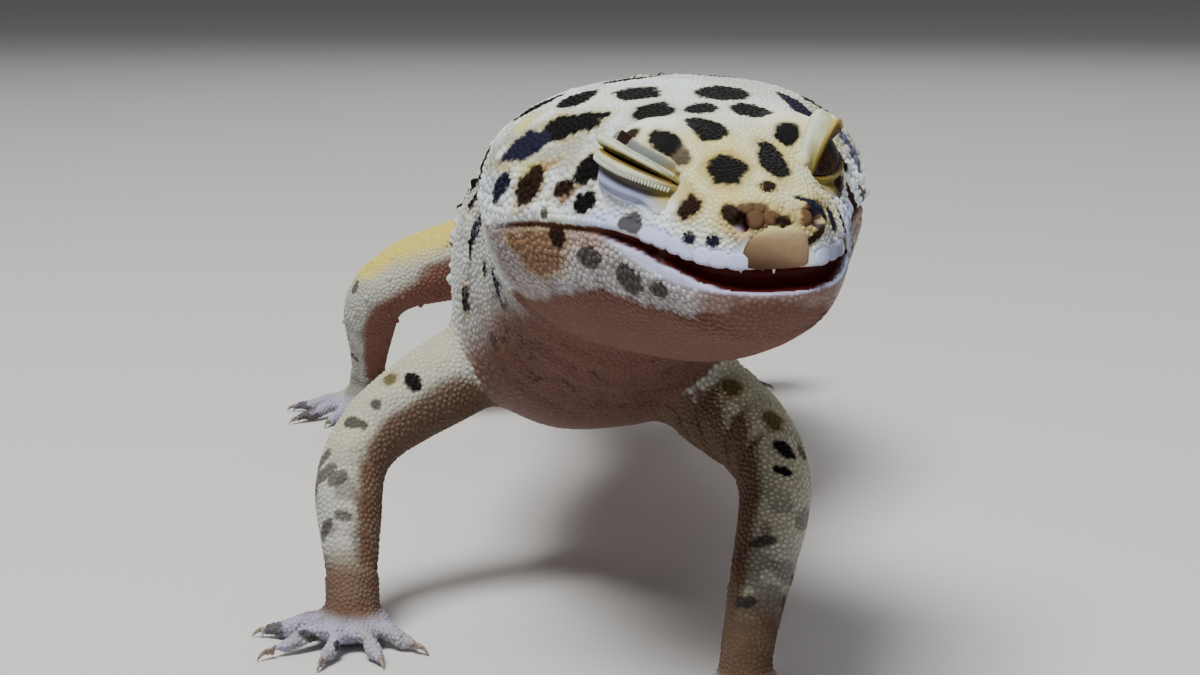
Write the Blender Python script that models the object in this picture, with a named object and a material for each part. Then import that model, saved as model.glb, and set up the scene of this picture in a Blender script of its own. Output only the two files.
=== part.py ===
"""A leopard gecko, Eublepharis macularius, standing with its head turned a little to its left.

Life size, in metres, +Z up. The animal faces -Y and its left side is +X. While it is being
modelled, lengths are in millimetres and y counts back from the tip of the snout; the finished
animal is moved so that the middle of its box is at x = y = 0, with its feet and tail on z = 0.
"""

import math

import bmesh
import bpy
import numpy as np
from mathutils import Matrix, Vector

MM = 0.001
GAP = 0.3  # parts of the body stay this far from each other
FLAT = 2.0  # degrees: faces that bend less than this after a cut are joined
FLOOR_BLOCK = (400.0, 600.0, 20.0)  # width, length and depth of the block under z = 0

# Head, along its own axis: the turn is to the animal's left, the nod and the lean are slight.
HEAD_TURN = math.radians(15.0)
HEAD_NOD = math.radians(1.0)
HEAD_LEAN = math.radians(1.7)
HEAD_STRAIGHT = 26.0  # the spine bends only behind this distance from the snout
SNOUT = Vector((10.1, 0.0, 30.1))

# The spine behind the head: distance from the snout, then x, y, z.
SPINE = (
    (36, 1.0, 34.8, 28.6),
    (46, -0.8, 44.6, 25.2),
    (60, 1.5, 58.5, 24.6),
    (76, 5.5, 74.0, 25.4),
    (92, 5.0, 90.0, 24.6),
    (106, 1.5, 103.5, 22.4),
    (114, -0.8, 111.0, 20.6),
    (122, -3.0, 118.5, 17.6),
    (134, -6.5, 129.0, 11.4),
    (146, -9.0, 140.0, 7.5),
    (160, -8.5, 154.0, 6.9),
    (175, -3.5, 168.0, 5.9),
    (190, 3.0, 181.5, 4.3),
    (205, 8.0, 195.5, 2.6),
    (218, 10.5, 208.5, 0.9),
)

# Cross-sections: distance from the snout, half width, height of the top and of the underside
# above the spine, height of the widest place, and how square the upper and lower halves are.
SECTIONS = (
    (0.0, 1.9, 2.0, -2.2, 0.0, 2.2, 2.2),
    (0.7, 3.2, 3.3, -3.4, 0.2, 2.2, 2.2),
    (2.0, 4.4, 4.5, -4.5, 0.4, 2.2, 2.2),
    (4.5, 5.8, 5.7, -5.6, 0.6, 2.0, 2.0),
    (8.0, 7.3, 6.9, -6.7, 0.8, 1.8, 1.95),
    (12.0, 9.2, 7.9, -7.7, 1.2, 2.0, 1.95),
    (16.0, 11.2, 8.9, -8.3, 1.8, 2.13, 2.0),
    (20.0, 12.4, 9.2, -8.6, 2.2, 2.15, 2.1),
    (24.0, 12.1, 9.0, -9.1, 2.0, 2.17, 2.2),
    (29.0, 10.3, 7.6, -10.4, 0.5, 2.2, 2.2),
    (36.0, 9.6, 7.3, -12.6, -1.0, 2.2, 2.3),
    (46.0, 10.4, 10.0, -13.3, -1.0, 2.1, 2.5),
    (60.0, 12.9, 11.3, -11.7, -1.0, 2.1, 2.4),
    (76.0, 14.0, 11.4, -11.0, -1.0, 2.1, 2.3),
    (92.0, 13.2, 10.8, -10.9, -1.0, 2.1, 2.3),
    (106.0, 10.8, 9.7, -10.2, -1.0, 2.1, 2.2),
    (114.0, 9.2, 8.5, -8.8, 0.0, 2.0, 2.1),
    (122.0, 7.6, 7.3, -7.8, 0.0, 2.0, 2.0),
    (134.0, 6.3, 5.9, -6.4, 0.0, 2.0, 2.0),
    (146.0, 7.5, 6.3, -6.9, 0.0, 2.0, 2.1),
    (160.0, 9.0, 6.6, -7.05, 0.0, 2.0, 2.2),
    (175.0, 8.2, 5.8, -6.05, 0.0, 2.0, 2.2),
    (190.0, 6.0, 4.2, -4.45, 0.0, 2.0, 2.2),
    (205.0, 3.4, 2.5, -2.75, 0.0, 2.0, 2.2),
    (218.0, 0.7, 0.6, -1.0, 0.0, 2.0, 2.0),
)

# Lengths that the body is divided into, from the snout back: name, where it ends, rings, sides.
LENGTHS = (
    ("neck", 41.0, 6, 24),
    ("chest", 64.0, 9, 24),
    ("belly", 98.0, 10, 24),
    ("hips", 120.0, 8, 24),
    ("tail_base", 146.0, 9, 20),
    ("tail_middle", 182.0, 10, 18),
    ("tail_end", 218.0, 11, 14),
)
HEAD_END = 29.0
HEAD_SIDES = 30
HEAD_RINGS = 19

# Mouth: height of the upper lip above the head's axis, by distance from the snout.
LIP = ((0.0, -0.3), (2.0, 0.0), (6.0, 0.9), (10.0, 1.4), (15.0, 1.3), (20.0, 0.7))
MOUTH_OPEN = 1.0  # between the lips at the front
MOUTH_SHUT_FROM = 11.0  # behind this the lips are only parted by the gap
JAW_HINGE = 20.0
JAW_REAR_FOOT = (25.5, -14.0)  # where the cut behind the lower jaw leaves the throat
JAW_FRONT_HIGH = (-4.0, -0.7)  # the jaw's block begins well in front of the snout
THROUGH_HEAD = 20.0  # half the width of a block that cuts right through the head

# Eyes, in the head's axes: distance back, to the side, up.
EYE_BACK, EYE_SIDE, EYE_UP = 10.5, 3.7, 4.1
EYE_RADIUS = 3.0
LID_THICKNESS = 0.5
LID_RIM = 0.5
GAZE = Vector((0.70, -0.63, 0.33)).normalized()  # outwards, back, up
EYE_SLANT = math.radians(5.0)  # the front corner is the lower one
EYE_HALF_LENGTH = math.radians(43.0)
LID_OPENING = {"right": (9.0, 6.0), "left": (24.0, 20.0)}  # degrees above and below the slit

# Small forms of the head: distance back, to the side, up, radius, height of the swelling.
HEAD_FORMS = (
    (1.4, 2.1, 3.0, 1.4, 0.3),  # rim of the nostril
    (5.6, 5.4, 3.4, 2.2, -0.4),  # hollow in front of the eye
    (11.0, 4.2, 8.0, 3.0, 0.5),  # brow
    (15.5, 9.2, 5.4, 2.6, -0.5),  # hollow behind the eye
    (26.5, 0.0, 8.8, 4.0, -0.3),  # nape, behind the skull
)
NOSTRIL = (0.9, 2.1, 2.5, 0.45)  # distance back, to the side, up, radius
EAR = (25.4, 11.9, 0.6)
EAR_RADII = (1.0, 1.5, 1.9)

# Limbs: joints from inside the body to the middle of the hand or foot, and radii at each.
LIMBS = {
    "right_fore": (
        ((-5.5, 45.5, 19.1), (-18.3, 36.3, 12.8), (-17.3, 30.3, 3.4), (-17.2, 29.4, 1.2)),
        (3.8, 3.4, 2.7, 2.6, 1.95, 1.8),
    ),
    "left_fore": (
        ((3.5, 43.0, 18.4), (12.6, 27.4, 13.2), (9.3, 16.4, 3.4), (9.2, 15.2, 1.2)),
        (3.9, 3.6, 2.8, 2.5, 1.95, 1.8),
    ),
    "right_hind": (
        ((-4.5, 111.5, 18.9), (-23.0, 104.5, 14.6), (-24.2, 112.6, 4.0), (-24.6, 111.8, 1.4)),
        (5.0, 4.3, 3.3, 2.9, 1.9, 1.8),
    ),
    "left_hind": (
        ((3.0, 111.5, 19.5), (18.8, 119.5, 14.6), (11.2, 126.0, 4.0), (11.0, 125.0, 1.4)),
        (5.0, 4.3, 3.3, 2.9, 1.9, 1.8),
    ),
}
LIMB_PARTS = {
    "fore": ("upper_arm", "forearm", "hand"),
    "hind": ("thigh", "shin", "foot"),
}
CORNER = 5.2  # how far from a joint its bend begins
LIMB_SIDES = 12
LIMB_RINGS = 8
WRIST_BACK = 0.6  # how far up the limb from the wrist the hand begins
FULLEST = 0.35  # share of the way from the middle joint to the wrist of the fourth radius
BESIDE_LIMB = {"fore": (32.0, 74.0), "hind": (92.0, 132.0)}  # the trunk where it joins on
TRUNK_RINGS, TRUNK_SIDES = 22, 24

# Hands and feet: radii of the palm, then for each toe its length and its direction in degrees
# from straight ahead, positive towards the animal's outer side.
PALMS = {"fore": (2.7, 2.7, 1.35), "hind": (3.0, 3.3, 1.5)}
TOES = {
    "fore": ((4.1, -64.0), (4.8, -30.0), (5.1, 4.0), (5.2, 42.0), (4.6, 88.0)),
    "hind": ((4.6, -48.0), (5.8, -20.0), (6.8, 6.0), (7.2, 32.0), (5.6, 78.0)),
}
TOE_HEIGHTS = (1.3, 1.35, 0.6, 0.7, 0.3)
TOE_RADII = (1.0, 0.76, 0.7, 0.42, 0.27)
TOE_STEPS = (0.0, 0.4, 0.74, 0.88, 1.0)
TOE_SIDES = 6
TOE_ROOT = 0.8  # from the middle of the palm
CLAW = 1.2  # reach of the claw beyond the toe
HEADINGS = {"right_fore": -8.0, "left_fore": 4.0, "right_hind": -14.0, "left_hind": 6.0}

COLOURS = {
    "skin": ((0.78, 0.70, 0.50), 0.55),
    "jaw": ((0.80, 0.72, 0.66), 0.5),
    "tail": ((0.76, 0.70, 0.60), 0.55),
    "limb": ((0.78, 0.72, 0.60), 0.55),
    "foot": ((0.72, 0.64, 0.62), 0.55),
    "eye": ((0.05, 0.012, 0.01), 0.12),
}


# ---------------------------------------------------------------- curves and sections


def eased(knots, values, at):
    """Values at the places asked for, on a smooth curve through the knots with no overshoot."""
    knots = np.asarray(knots, float)
    values = np.asarray(values, float)
    spans = np.diff(knots)
    slopes = np.diff(values) / spans
    same_way = slopes[:-1] * slopes[1:] > 0
    total = np.where(same_way, slopes[:-1] + slopes[1:], 1.0)
    inner = np.where(same_way, 2 * slopes[:-1] * slopes[1:] / total, 0.0)
    return hermite(knots, values, np.r_[slopes[0], inner, slopes[-1]], at)


def hermite(knots, values, tangents, at):
    at = np.clip(np.asarray(at, float), knots[0], knots[-1])
    which = np.clip(np.searchsorted(knots, at, side="right") - 1, 0, len(knots) - 2)
    span = knots[which + 1] - knots[which]
    part = (at - knots[which]) / span
    rest = 1 - part
    return (
        values[which] * rest**2 * (1 + 2 * part)
        + values[which + 1] * part**2 * (1 + 2 * rest)
        + span * part * rest * (tangents[which] * rest - tangents[which + 1] * part)
    )


def through(knots, values, at):
    """Like eased, for a path: the tangent at each knot follows its two neighbours."""
    knots = np.asarray(knots, float)
    values = np.asarray(values, float)
    slopes = np.diff(values) / np.diff(knots)
    inner = (values[2:] - values[:-2]) / (knots[2:] - knots[:-2])
    return hermite(knots, values, np.r_[slopes[0], inner, slopes[-1]], at)


def head_axes():
    """Unit vectors of the head: towards its left, back, and up."""
    back = Vector(
        (
            -math.sin(HEAD_TURN) * math.cos(HEAD_NOD),
            math.cos(HEAD_TURN) * math.cos(HEAD_NOD),
            math.sin(HEAD_NOD),
        )
    )
    left = back.cross(Vector((0, 0, 1))).normalized()
    left = Matrix.Rotation(-HEAD_LEAN, 3, back) @ left
    return left, back, left.cross(back)


def in_head(back, side, up):
    """A place given in the head's own axes."""
    axes = head_axes()
    return SNOUT + axes[0] * side + axes[1] * back + axes[2] * up


def spine_knots():
    straight = [(d, *in_head(d, 0, 0)) for d in (0.0, HEAD_STRAIGHT / 2, HEAD_STRAIGHT)]
    return np.array([*straight, *SPINE], float).T


def spine_at(distance):
    knots = spine_knots()
    return np.array([through(knots[0], knots[i], distance) for i in (1, 2, 3)])


def frame_at(distance):
    """The spine's place at this distance, with its axes to the left and up."""
    centre = Vector(spine_at(distance))
    ahead = Vector(spine_at(max(distance - 0.5, 0.0)))
    behind = Vector(spine_at(min(distance + 0.5, SPINE[-1][0])))
    back = (behind - ahead).normalized()
    left = back.cross(Vector((0, 0, 1))).normalized()
    lean = HEAD_LEAN * float(np.clip((46.0 - distance) / 20.0, 0.0, 1.0))
    left = Matrix.Rotation(-lean, 3, back) @ left
    return centre, left, left.cross(back)


def ring_at(distance, sides, grow=0.0):
    """One cross-section of the body as points in space."""
    table = np.array(SECTIONS, float).T
    width, top, under, level, upper, lower = (
        float(eased(table[0], row, distance)) for row in table[1:]
    )
    centre, left, up = frame_at(distance)
    angle = 2 * np.pi * np.arange(sides) / sides
    across, rise = np.cos(angle), np.sin(angle)
    power = np.where(rise > 0, 2 / upper, 2 / lower)
    reach = np.where(rise > 0, top - level + grow, level - under + grow)
    across = (width + grow) * np.sign(across) * np.abs(across) ** power
    rise = level + reach * np.sign(rise) * np.abs(rise) ** power
    return np.array(centre) + np.outer(across, left) + np.outer(rise, up)


def snout_spacing(end, rings):
    """Distances from the snout, close together at its tip."""
    return end * np.linspace(0.0, 1.0, rings) ** 1.5


# ---------------------------------------------------------------- meshes and objects


def loft(rings):
    """A closed mesh through a row of rings, with a point in the middle of each end."""
    rings = np.asarray(rings)
    count, sides = rings.shape[:2]
    points = np.vstack([rings.reshape(-1, 3), rings[0].mean(0), rings[-1].mean(0)])
    faces = []
    for i in range(count - 1):
        for j in range(sides):
            k = (j + 1) % sides
            faces.append((i * sides + j, i * sides + k, (i + 1) * sides + k, (i + 1) * sides + j))
    first, last = count * sides, count * sides + 1
    for j in range(sides):
        k = (j + 1) % sides
        faces.append((first, k, j))
        faces.append((last, (count - 1) * sides + j, (count - 1) * sides + k))
    mesh = bpy.data.meshes.new("loft")
    mesh.from_pydata((points * MM).tolist(), [], faces)
    return tidied(mesh)


def tidied(mesh):
    """The mesh with its faces pointing out."""
    work = bmesh.new()
    work.from_mesh(mesh)
    bmesh.ops.recalc_face_normals(work, faces=work.faces)
    work.to_mesh(mesh)
    work.free()
    return mesh


def ball(centre, radii, segments, rings):
    """A sphere, or an ellipsoid where three radii are given."""
    radii = Vector((radii,) * 3) if isinstance(radii, float) else Vector(radii)
    work = bmesh.new()
    bmesh.ops.create_uvsphere(work, u_segments=segments, v_segments=rings, radius=1.0)
    for vert in work.verts:
        vert.co = (vert.co * radii + Vector(centre)) * MM
    mesh = bpy.data.meshes.new("ball")
    work.to_mesh(mesh)
    work.free()
    return mesh


def prism(outline, to_space, half_width):
    """A flat outline in the head's plane of symmetry, extruded to both sides."""
    work = bmesh.new()
    verts = [work.verts.new(to_space(back, -half_width, up) * MM) for back, up in outline]
    face = work.faces.new(verts)
    moved = bmesh.ops.extrude_face_region(work, geom=[face])["geom"]
    across = (to_space(0, half_width, 0) - to_space(0, -half_width, 0)) * MM
    new = [item for item in moved if isinstance(item, bmesh.types.BMVert)]
    bmesh.ops.translate(work, verts=new, vec=across)
    bmesh.ops.recalc_face_normals(work, faces=work.faces)
    bmesh.ops.triangulate(work, faces=work.faces)
    mesh = bpy.data.meshes.new("prism")
    work.to_mesh(mesh)
    work.free()
    return mesh


def collection(name):
    made = bpy.data.collections.new(name)
    bpy.context.scene.collection.children.link(made)
    return made


def material(name):
    colour, roughness = COLOURS[name]
    made = bpy.data.materials.get(name) or bpy.data.materials.new(name)
    made.use_nodes = True
    shader = made.node_tree.nodes["Principled BSDF"]
    shader.inputs["Base Color"].default_value = (*colour, 1.0)
    shader.inputs["Roughness"].default_value = roughness
    shader.inputs["Metallic"].default_value = 0.0
    return made


def part(name, mesh, look):
    """A visible part of the gecko."""
    mesh.name = name
    mesh.materials.clear()
    mesh.materials.append(material(look))
    mesh.shade_smooth()
    mesh.set_sharp_from_angle(angle=math.radians(50))
    made = bpy.data.objects.new(name, mesh)
    bpy.data.collections["leopard_gecko"].objects.link(made)
    return made


def cutter(name, mesh):
    """A helper that shapes a part and isn't one itself."""
    made = bpy.data.objects.new(name, mesh)
    made.hide_render = True
    made.display_type = "WIRE"
    bpy.data.collections["cutters"].objects.link(made)
    return made


def combine(target, operation, other_mesh):
    """Applies one Boolean to an object's mesh at once, so that later ones see its result."""
    other = cutter(f"{target.name}_{operation.lower()}", other_mesh)
    step = target.modifiers.new("shape", "BOOLEAN")
    step.operation = operation
    step.solver = "EXACT"
    step.object = other
    graph = bpy.context.evaluated_depsgraph_get()
    shaped = bpy.data.meshes.new_from_object(target.evaluated_get(graph))
    target.modifiers.remove(step)
    look = target.data.materials[0]
    name = target.data.name
    old = target.data
    target.data = shaped
    bpy.data.meshes.remove(old)
    shaped.name = name
    shaped.materials.clear()
    shaped.materials.append(look)
    bpy.data.objects.remove(other)
    bpy.data.meshes.remove(other_mesh)
    clean(shaped)


def clean(mesh):
    """Joins points that a cut left on top of each other, and makes every face a triangle."""
    work = bmesh.new()
    work.from_mesh(mesh)
    bmesh.ops.remove_doubles(work, verts=work.verts, dist=0.000005)
    bmesh.ops.dissolve_degenerate(work, edges=work.edges, dist=0.000002)
    bmesh.ops.dissolve_limit(
        work, angle_limit=math.radians(FLAT), verts=work.verts, edges=work.edges
    )
    bmesh.ops.triangulate(work, faces=work.faces)
    work.to_mesh(mesh)
    work.free()


def floor_cutter():
    """A block under z = 0 that leaves small flats where the body rests."""
    wide, long, deep = FLOOR_BLOCK
    work = bmesh.new()
    bmesh.ops.create_cube(work, size=1.0)
    for vert in work.verts:
        x, y, z = vert.co
        vert.co = Vector((x * wide, y * long + long / 4, (z - 0.5) * deep)) * MM
    mesh = bpy.data.meshes.new("floor")
    work.to_mesh(mesh)
    work.free()
    return mesh


# ---------------------------------------------------------------- head


def swell(points, centre, radius, height):
    """Pushes points near a place away from the head's axis, or towards it."""
    centre = np.array(centre)
    axis = np.array([in_head(back, 0, 1.0) for back in np.linspace(0, 30, 31)])
    nearest = axis[np.argmin(np.linalg.norm(points[:, None] - axis[None], axis=2), axis=1)]
    away = points - nearest
    away /= np.linalg.norm(away, axis=1, keepdims=True)
    weight = np.exp(-((np.linalg.norm(points - centre, axis=1) / radius) ** 2))
    return points + away * (height * weight)[:, None]


def whole_head():
    """The head with its mouth shut and no eyes, from the snout to the neck."""
    distances = snout_spacing(HEAD_END - GAP / 2, HEAD_RINGS)
    rings = np.array([ring_at(distance, HEAD_SIDES) for distance in distances])
    points = rings.reshape(-1, 3)
    for back, side, up, radius, height in HEAD_FORMS:
        for sign in (-1, 1) if side else (1,):
            points = swell(points, in_head(back, side * sign, up), radius, height)
    return loft(points.reshape(rings.shape))


def eye_axes(sign):
    """The eye's axes in space: from the back corner to the front one, up the eye, and out."""
    left, back, up = head_axes()
    out = (left * GAZE.x * sign + back * GAZE.y + up * GAZE.z).normalized()
    along = back * -math.cos(EYE_SLANT) - up * math.sin(EYE_SLANT)
    along = (along - out * along.dot(out)).normalized()
    above = along.cross(out) if along.cross(out).dot(up) > 0 else out.cross(along)
    return along, above.normalized(), out


def lid_edge(sign, lift, steps=8):
    """Directions from the eye's centre to the edge of one lid, back corner to front corner."""
    along, above, out = eye_axes(sign)
    edge = []
    for t in np.linspace(-1, 1, steps):
        turn = t * EYE_HALF_LENGTH
        rise = math.radians(lift) * (1 - t * t)
        flat = out * math.cos(turn) + along * math.sin(turn)
        edge.append(flat * math.cos(rise) + above * math.sin(rise))
    return edge


def eye_centre(sign):
    return in_head(EYE_BACK, EYE_SIDE * sign, EYE_UP)


def slit_cutter(sign, upper, lower):
    """The opening between the lids: a cone from the eye's centre through both edges."""
    centre = eye_centre(sign)
    edge = lid_edge(sign, upper) + lid_edge(sign, -lower)[-2:0:-1]
    work = bmesh.new()
    apex = work.verts.new(centre * MM)
    far = [work.verts.new((centre + ray * (EYE_RADIUS + 4.0)) * MM) for ray in edge]
    for here, there in zip(far, far[1:] + far[:1]):
        work.faces.new((apex, here, there))
    work.faces.new(far[::-1])
    bmesh.ops.recalc_face_normals(work, faces=work.faces)
    bmesh.ops.triangulate(work, faces=work.faces)
    mesh = bpy.data.meshes.new("slit")
    work.to_mesh(mesh)
    work.free()
    return mesh


def lid_rim(sign, lift):
    """The thick edge of one lid."""
    centre = eye_centre(sign)
    reach = EYE_RADIUS + GAP + LID_THICKNESS
    push = math.copysign(5.0, lift)
    path = [centre + ray * reach for ray in lid_edge(sign, lift + push)]
    radii = [LID_RIM * math.sin(math.pi * (0.12 + 0.108 * i)) for i in range(len(path))]
    return tube(path, radii, 5)


def make_head():
    head = part("head", whole_head(), "skin")
    for side, sign in (("right", -1), ("left", 1)):
        reach = EYE_RADIUS + GAP + LID_THICKNESS
        upper, lower = LID_OPENING[side]
        combine(head, "UNION", ball(eye_centre(sign), reach, 14, 8))
        combine(head, "UNION", lid_rim(sign, upper))
        combine(head, "UNION", lid_rim(sign, -lower))
        combine(head, "DIFFERENCE", slit_cutter(sign, upper, lower))
        combine(head, "DIFFERENCE", ball(eye_centre(sign), EYE_RADIUS + GAP, 12, 8))
        combine(head, "DIFFERENCE", ball(in_head(EAR[0], EAR[1] * sign, EAR[2]), EAR_RADII, 8, 6))
        back, aside, up, radius = NOSTRIL
        nostril = ball(in_head(back, aside * sign, up), radius, 8, 6)
        combine(head, "DIFFERENCE", nostril)
        part(f"{side}_eye", ball(eye_centre(sign), EYE_RADIUS, 14, 8), "eye")
    combine(head, "DIFFERENCE", prism(jaw_outline(0.0, GAP), in_head, THROUGH_HEAD))


def lip_height(back):
    knots = np.array(LIP).T
    return float(eased(knots[0], knots[1], back))


def mouth_gap(back):
    """How far the lower lip is below the upper one."""
    shut = min(back / MOUTH_SHUT_FROM, 1.0)
    return GAP + (MOUTH_OPEN - GAP) * (1 - shut) ** 1.3


def jaw_outline(opened, grow):
    """Side view of the lower jaw's block; opened is 1 for the jaw itself and 0 for its bed."""
    top = [
        (back, lip_height(back) - opened * mouth_gap(back))
        for back in np.linspace(0.0, JAW_HINGE, 21)
    ]
    rear = [(JAW_HINGE + grow, top[-1][1])] if grow else []
    foot = (JAW_REAR_FOOT[0] + grow, JAW_REAR_FOOT[1])
    front_low = (JAW_FRONT_HIGH[0], JAW_REAR_FOOT[1])
    front_high = (JAW_FRONT_HIGH[0], JAW_FRONT_HIGH[1] - opened * MOUTH_OPEN)
    return [front_high, *top, *rear, foot, front_low]


def make_lower_jaw():
    jaw = part("lower_jaw", whole_head(), "jaw")
    combine(jaw, "INTERSECT", prism(jaw_outline(1.0, 0.0), in_head, THROUGH_HEAD))


# ---------------------------------------------------------------- neck, trunk and tail


def body_length(start, end, rings, sides, grow=0.0):
    distances = np.linspace(start, end, rings)
    return loft([ring_at(distance, sides, grow) for distance in distances])


def make_lengths():
    start = HEAD_END
    for name, end, rings, sides in LENGTHS:
        look = "tail" if name.startswith("tail") else "skin"
        last = end - (0.0 if name == "tail_end" else GAP / 2)
        made = part(name, body_length(start + GAP / 2, last, rings, sides), look)
        if look == "tail":
            combine(made, "DIFFERENCE", floor_cutter())
        start = end


# ---------------------------------------------------------------- limbs


def tube(path, radii, sides, tangents=None):
    """A closed round tube along a path, its radius given at each point."""
    path = [Vector(point) for point in path]
    if tangents is None:
        tangents = [b - a for a, b in zip([path[0], *path], [*path[1:], path[-1]])]
    rings = []
    across = None
    for centre, radius, tangent in zip(path, radii, tangents):
        along = Vector(tangent).normalized()
        if across is None:
            across = along.orthogonal().normalized()
        across = (across - along * across.dot(along)).normalized()
        other = along.cross(across)
        angles = [2 * math.pi * k / sides for k in range(sides)]
        rings.append(
            [centre + (across * math.cos(a) + other * math.sin(a)) * radius for a in angles]
        )
    return loft(np.array(rings))


def rounded_path(joints, step=0.9):
    """Points along straight bones with a smooth bend at each joint, and the arc lengths."""
    joints = [Vector(joint) for joint in joints]
    points = [joints[0]]
    for before, joint, after in zip(joints, joints[1:], joints[2:]):
        reach_in = min(CORNER, (joint - before).length / 2)
        reach_out = min(CORNER, (after - joint).length / 2)
        enter = joint + (before - joint).normalized() * reach_in
        leave = joint + (after - joint).normalized() * reach_out
        for t in np.linspace(0, 1, 9):
            points.append(enter * (1 - t) ** 2 + joint * 2 * t * (1 - t) + leave * t * t)
    points.append(joints[-1])
    points = np.array(points)
    lengths = np.r_[0, np.cumsum(np.linalg.norm(np.diff(points, axis=0), axis=1))]
    at = np.linspace(0, lengths[-1], int(lengths[-1] / step) + 1)
    return np.array([np.interp(at, lengths, points[:, i]) for i in range(3)]).T, at


def limb_stretch(limb, start, end, rings, grow=0.0):
    """A tube along part of a limb, between two of its arc lengths."""
    joints, radii = LIMBS[limb]
    path, at = rounded_path(joints)
    steps = [0.0, *limb_marks(limb), at[-1]]
    middles = [steps[0], (steps[0] + steps[1]) / 2, steps[1]]
    middles += [steps[1] * (1 - FULLEST) + steps[2] * FULLEST, steps[2], steps[3]]
    wanted = np.linspace(start, end, rings)
    centre, before, after = (
        np.array([np.interp(wanted + shift, at, path[:, i]) for i in range(3)]).T
        for shift in (0.0, -0.5, 0.5)
    )
    return tube(centre, eased(middles, radii, wanted) + grow, LIMB_SIDES, after - before)


def limb_marks(limb):
    """Arc lengths at the middle joint and where the hand or foot begins."""
    joints, _ = LIMBS[limb]
    path, at = rounded_path(joints)
    marks = []
    for joint in joints[1:3]:
        marks.append(float(at[np.argmin(np.linalg.norm(path - np.array(joint), axis=1))]))
    return marks[0], marks[1] - WRIST_BACK


def toe(limb, length, angle):
    """One toe with its claw, from the middle of the palm out to its tip."""
    joints, _ = LIMBS[limb]
    side = -1 if limb.startswith("right") else 1
    turn = math.radians(HEADINGS[limb] + side * angle)
    forward = Vector((math.sin(turn), -math.cos(turn), 0.0))
    palm = Vector(joints[-1])
    root = palm + forward * TOE_ROOT
    path = [
        Vector((*(root + forward * (step * (length + CLAW))).xy, height))
        for step, height in zip(TOE_STEPS, TOE_HEIGHTS)
    ]
    return tube(path, TOE_RADII, TOE_SIDES)


def make_limb(limb):
    side, kind = limb.split("_")
    names = [f"{side}_{name}" for name in LIMB_PARTS[kind]]
    middle, wrist = limb_marks(limb)
    end = rounded_path(LIMBS[limb][0])[1][-1]
    upper = part(names[0], limb_stretch(limb, 0.0, middle - GAP / 2, LIMB_RINGS), "limb")
    trunk = body_length(*BESIDE_LIMB[kind], TRUNK_RINGS, TRUNK_SIDES, GAP)
    combine(upper, "DIFFERENCE", trunk)
    part(names[1], limb_stretch(limb, middle + GAP / 2, wrist - GAP / 2, LIMB_RINGS), "limb")
    hand = part(names[2], limb_stretch(limb, wrist + GAP / 2, end, 3), "foot")
    palm = Vector(LIMBS[limb][0][-1])
    combine(hand, "UNION", ball(palm, PALMS[kind], 10, 6))
    for length, angle in TOES[kind]:
        combine(hand, "UNION", toe(limb, length, angle))
    combine(hand, "DIFFERENCE", limb_stretch(limb, middle, wrist + GAP / 4, LIMB_RINGS, GAP))
    combine(hand, "DIFFERENCE", floor_cutter())


# ---------------------------------------------------------------- the whole animal


def clear_scene():
    for item in list(bpy.data.objects):
        bpy.data.objects.remove(item)


def centre_on_floor():
    """Moves every part so that the middle of the animal's box is above the origin."""
    made = list(bpy.data.collections["leopard_gecko"].objects)
    points = np.array([vert.co for item in made for vert in item.data.vertices])
    middle = (points.min(axis=0) + points.max(axis=0)) / 2
    shift = Matrix.Translation((-middle[0], -middle[1], 0.0))
    for item in made:
        item.data.transform(shift)
        item.data.shade_smooth()


def main():
    clear_scene()
    collection("leopard_gecko")
    collection("cutters")
    make_head()
    make_lower_jaw()
    make_lengths()
    for limb in LIMBS:
        make_limb(limb)
    centre_on_floor()


main()
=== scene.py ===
"""The looks of a life-size leopard gecko: one skin with its scales, lids, eyes, mouth, teeth, claws.

Lengths are in millimetres until a mesh is made, on the axes of the solids: +Z up, the animal faces
-Y and its left is +X. A place on the head is given on the head's own axes: how far back from the
snout, how far to the animal's left, how far up.
"""

import math
from functools import cache, partial

import bmesh
import bpy
import numpy as np
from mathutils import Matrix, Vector
from mathutils.bvhtree import BVHTree


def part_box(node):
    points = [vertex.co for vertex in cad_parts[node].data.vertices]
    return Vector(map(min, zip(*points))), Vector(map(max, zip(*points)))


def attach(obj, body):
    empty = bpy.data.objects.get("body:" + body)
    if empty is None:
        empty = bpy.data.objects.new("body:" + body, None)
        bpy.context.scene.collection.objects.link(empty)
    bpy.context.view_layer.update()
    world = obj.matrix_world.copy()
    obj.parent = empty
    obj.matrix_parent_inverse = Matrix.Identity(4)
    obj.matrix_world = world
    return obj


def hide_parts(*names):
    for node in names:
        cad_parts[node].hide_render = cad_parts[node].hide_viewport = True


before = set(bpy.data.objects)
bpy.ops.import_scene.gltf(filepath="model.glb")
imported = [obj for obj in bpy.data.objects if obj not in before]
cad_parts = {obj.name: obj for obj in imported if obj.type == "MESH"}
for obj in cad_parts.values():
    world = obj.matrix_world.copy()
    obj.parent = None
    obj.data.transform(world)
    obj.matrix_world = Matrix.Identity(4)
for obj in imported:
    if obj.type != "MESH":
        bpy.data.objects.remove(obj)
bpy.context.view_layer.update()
bpy.ops.object.select_all(action="DESELECT")

MM = 0.001
BATCH = 20000  # how many points are measured along the spine at once
FAR_AWAY = 9.0  # larger than any measure that matters near an eye or an ear
SIGN = {"right": -1, "left": 1}
LID_SIGN = {"upper": 1, "lower": -1}

# ---------------------------------------------------------------- sizes

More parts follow.
